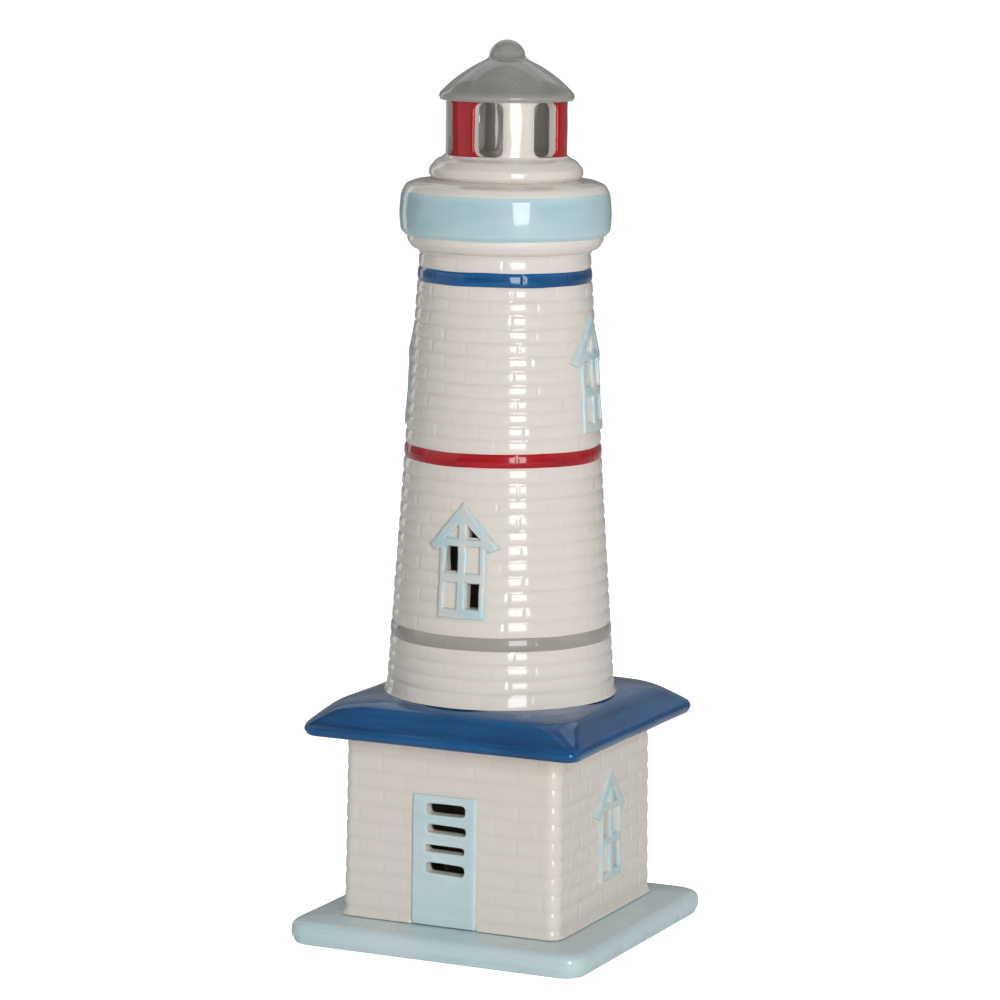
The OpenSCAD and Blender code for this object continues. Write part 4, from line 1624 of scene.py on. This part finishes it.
class LIGHTHOUSE_OT_studio(bpy.types.Operator):
    """Set the camera, the soft lights, the pale floor and the background"""

    bl_idname = "lighthouse.studio"
    bl_label = "Studio"

    def execute(self, context):
        scene = context.scene
        setup = scene.studio_setup
        set_camera(scene, setup)
        set_floor(scene)
        set_lights(setup)
        set_sky(scene, setup)
        scene.view_settings.view_transform = "Standard"
        return {"FINISHED"}


class LIGHTHOUSE_PT_panel(bpy.types.Panel):
    """Lists the steps that build the lighthouse"""

    bl_idname = "LIGHTHOUSE_PT_panel"
    bl_label = "Lighthouse"
    bl_space_type = "VIEW_3D"
    bl_region_type = "UI"
    bl_category = "Lighthouse"

    def draw(self, context):
        """Shows every setting, and a button for every step."""
        for group in GROUPS:
            box = self.layout.box()
            box.label(text=group)
            settings = getattr(context.scene, group)
            for key in settings.__annotations__:
                box.prop(settings, key)
        for step in STEPS:
            self.layout.operator(step.bl_idname)


GROUPS = {
    "glaze_colours": GlazeColours,
    "brick_sizes": BrickSizes,
    "window_sizes": WindowSizes,
    "door_sizes": DoorSizes,
    "lantern_sizes": LanternSizes,
    "studio_setup": StudioSetup,
}
STEPS = (
    LIGHTHOUSE_OT_studio,
    LIGHTHOUSE_OT_plinth,
    LIGHTHOUSE_OT_house_walls,
    LIGHTHOUSE_OT_door,
    LIGHTHOUSE_OT_house_windows,
    LIGHTHOUSE_OT_roof_slab,
    LIGHTHOUSE_OT_tower_wall,
    LIGHTHOUSE_OT_painted_courses,
    LIGHTHOUSE_OT_tower_windows,
    LIGHTHOUSE_OT_gallery,
    LIGHTHOUSE_OT_lantern_posts,
    LIGHTHOUSE_OT_lantern_roof,
    LIGHTHOUSE_OT_tealight,
)


def register():
    """Adds the settings, the steps and the panel to Blender."""
    for group in GROUPS.values():
        bpy.utils.register_class(group)
    for name, group in GROUPS.items():
        setattr(bpy.types.Scene, name, bpy.props.PointerProperty(type=group))
    for step in STEPS:
        bpy.utils.register_class(step)
    bpy.utils.register_class(LIGHTHOUSE_PT_panel)


def unregister():
    """Takes them away again."""
    bpy.utils.unregister_class(LIGHTHOUSE_PT_panel)
    for step in reversed(STEPS):
        bpy.utils.unregister_class(step)
    for name, group in GROUPS.items():
        delattr(bpy.types.Scene, name)
        bpy.utils.unregister_class(group)


def main():
    """Builds the lighthouse step by step."""
    register()
    for step in STEPS:
        area, name = step.bl_idname.split(".")
        getattr(getattr(bpy.ops, area), name)()


if __name__ == "__main__":
    main()
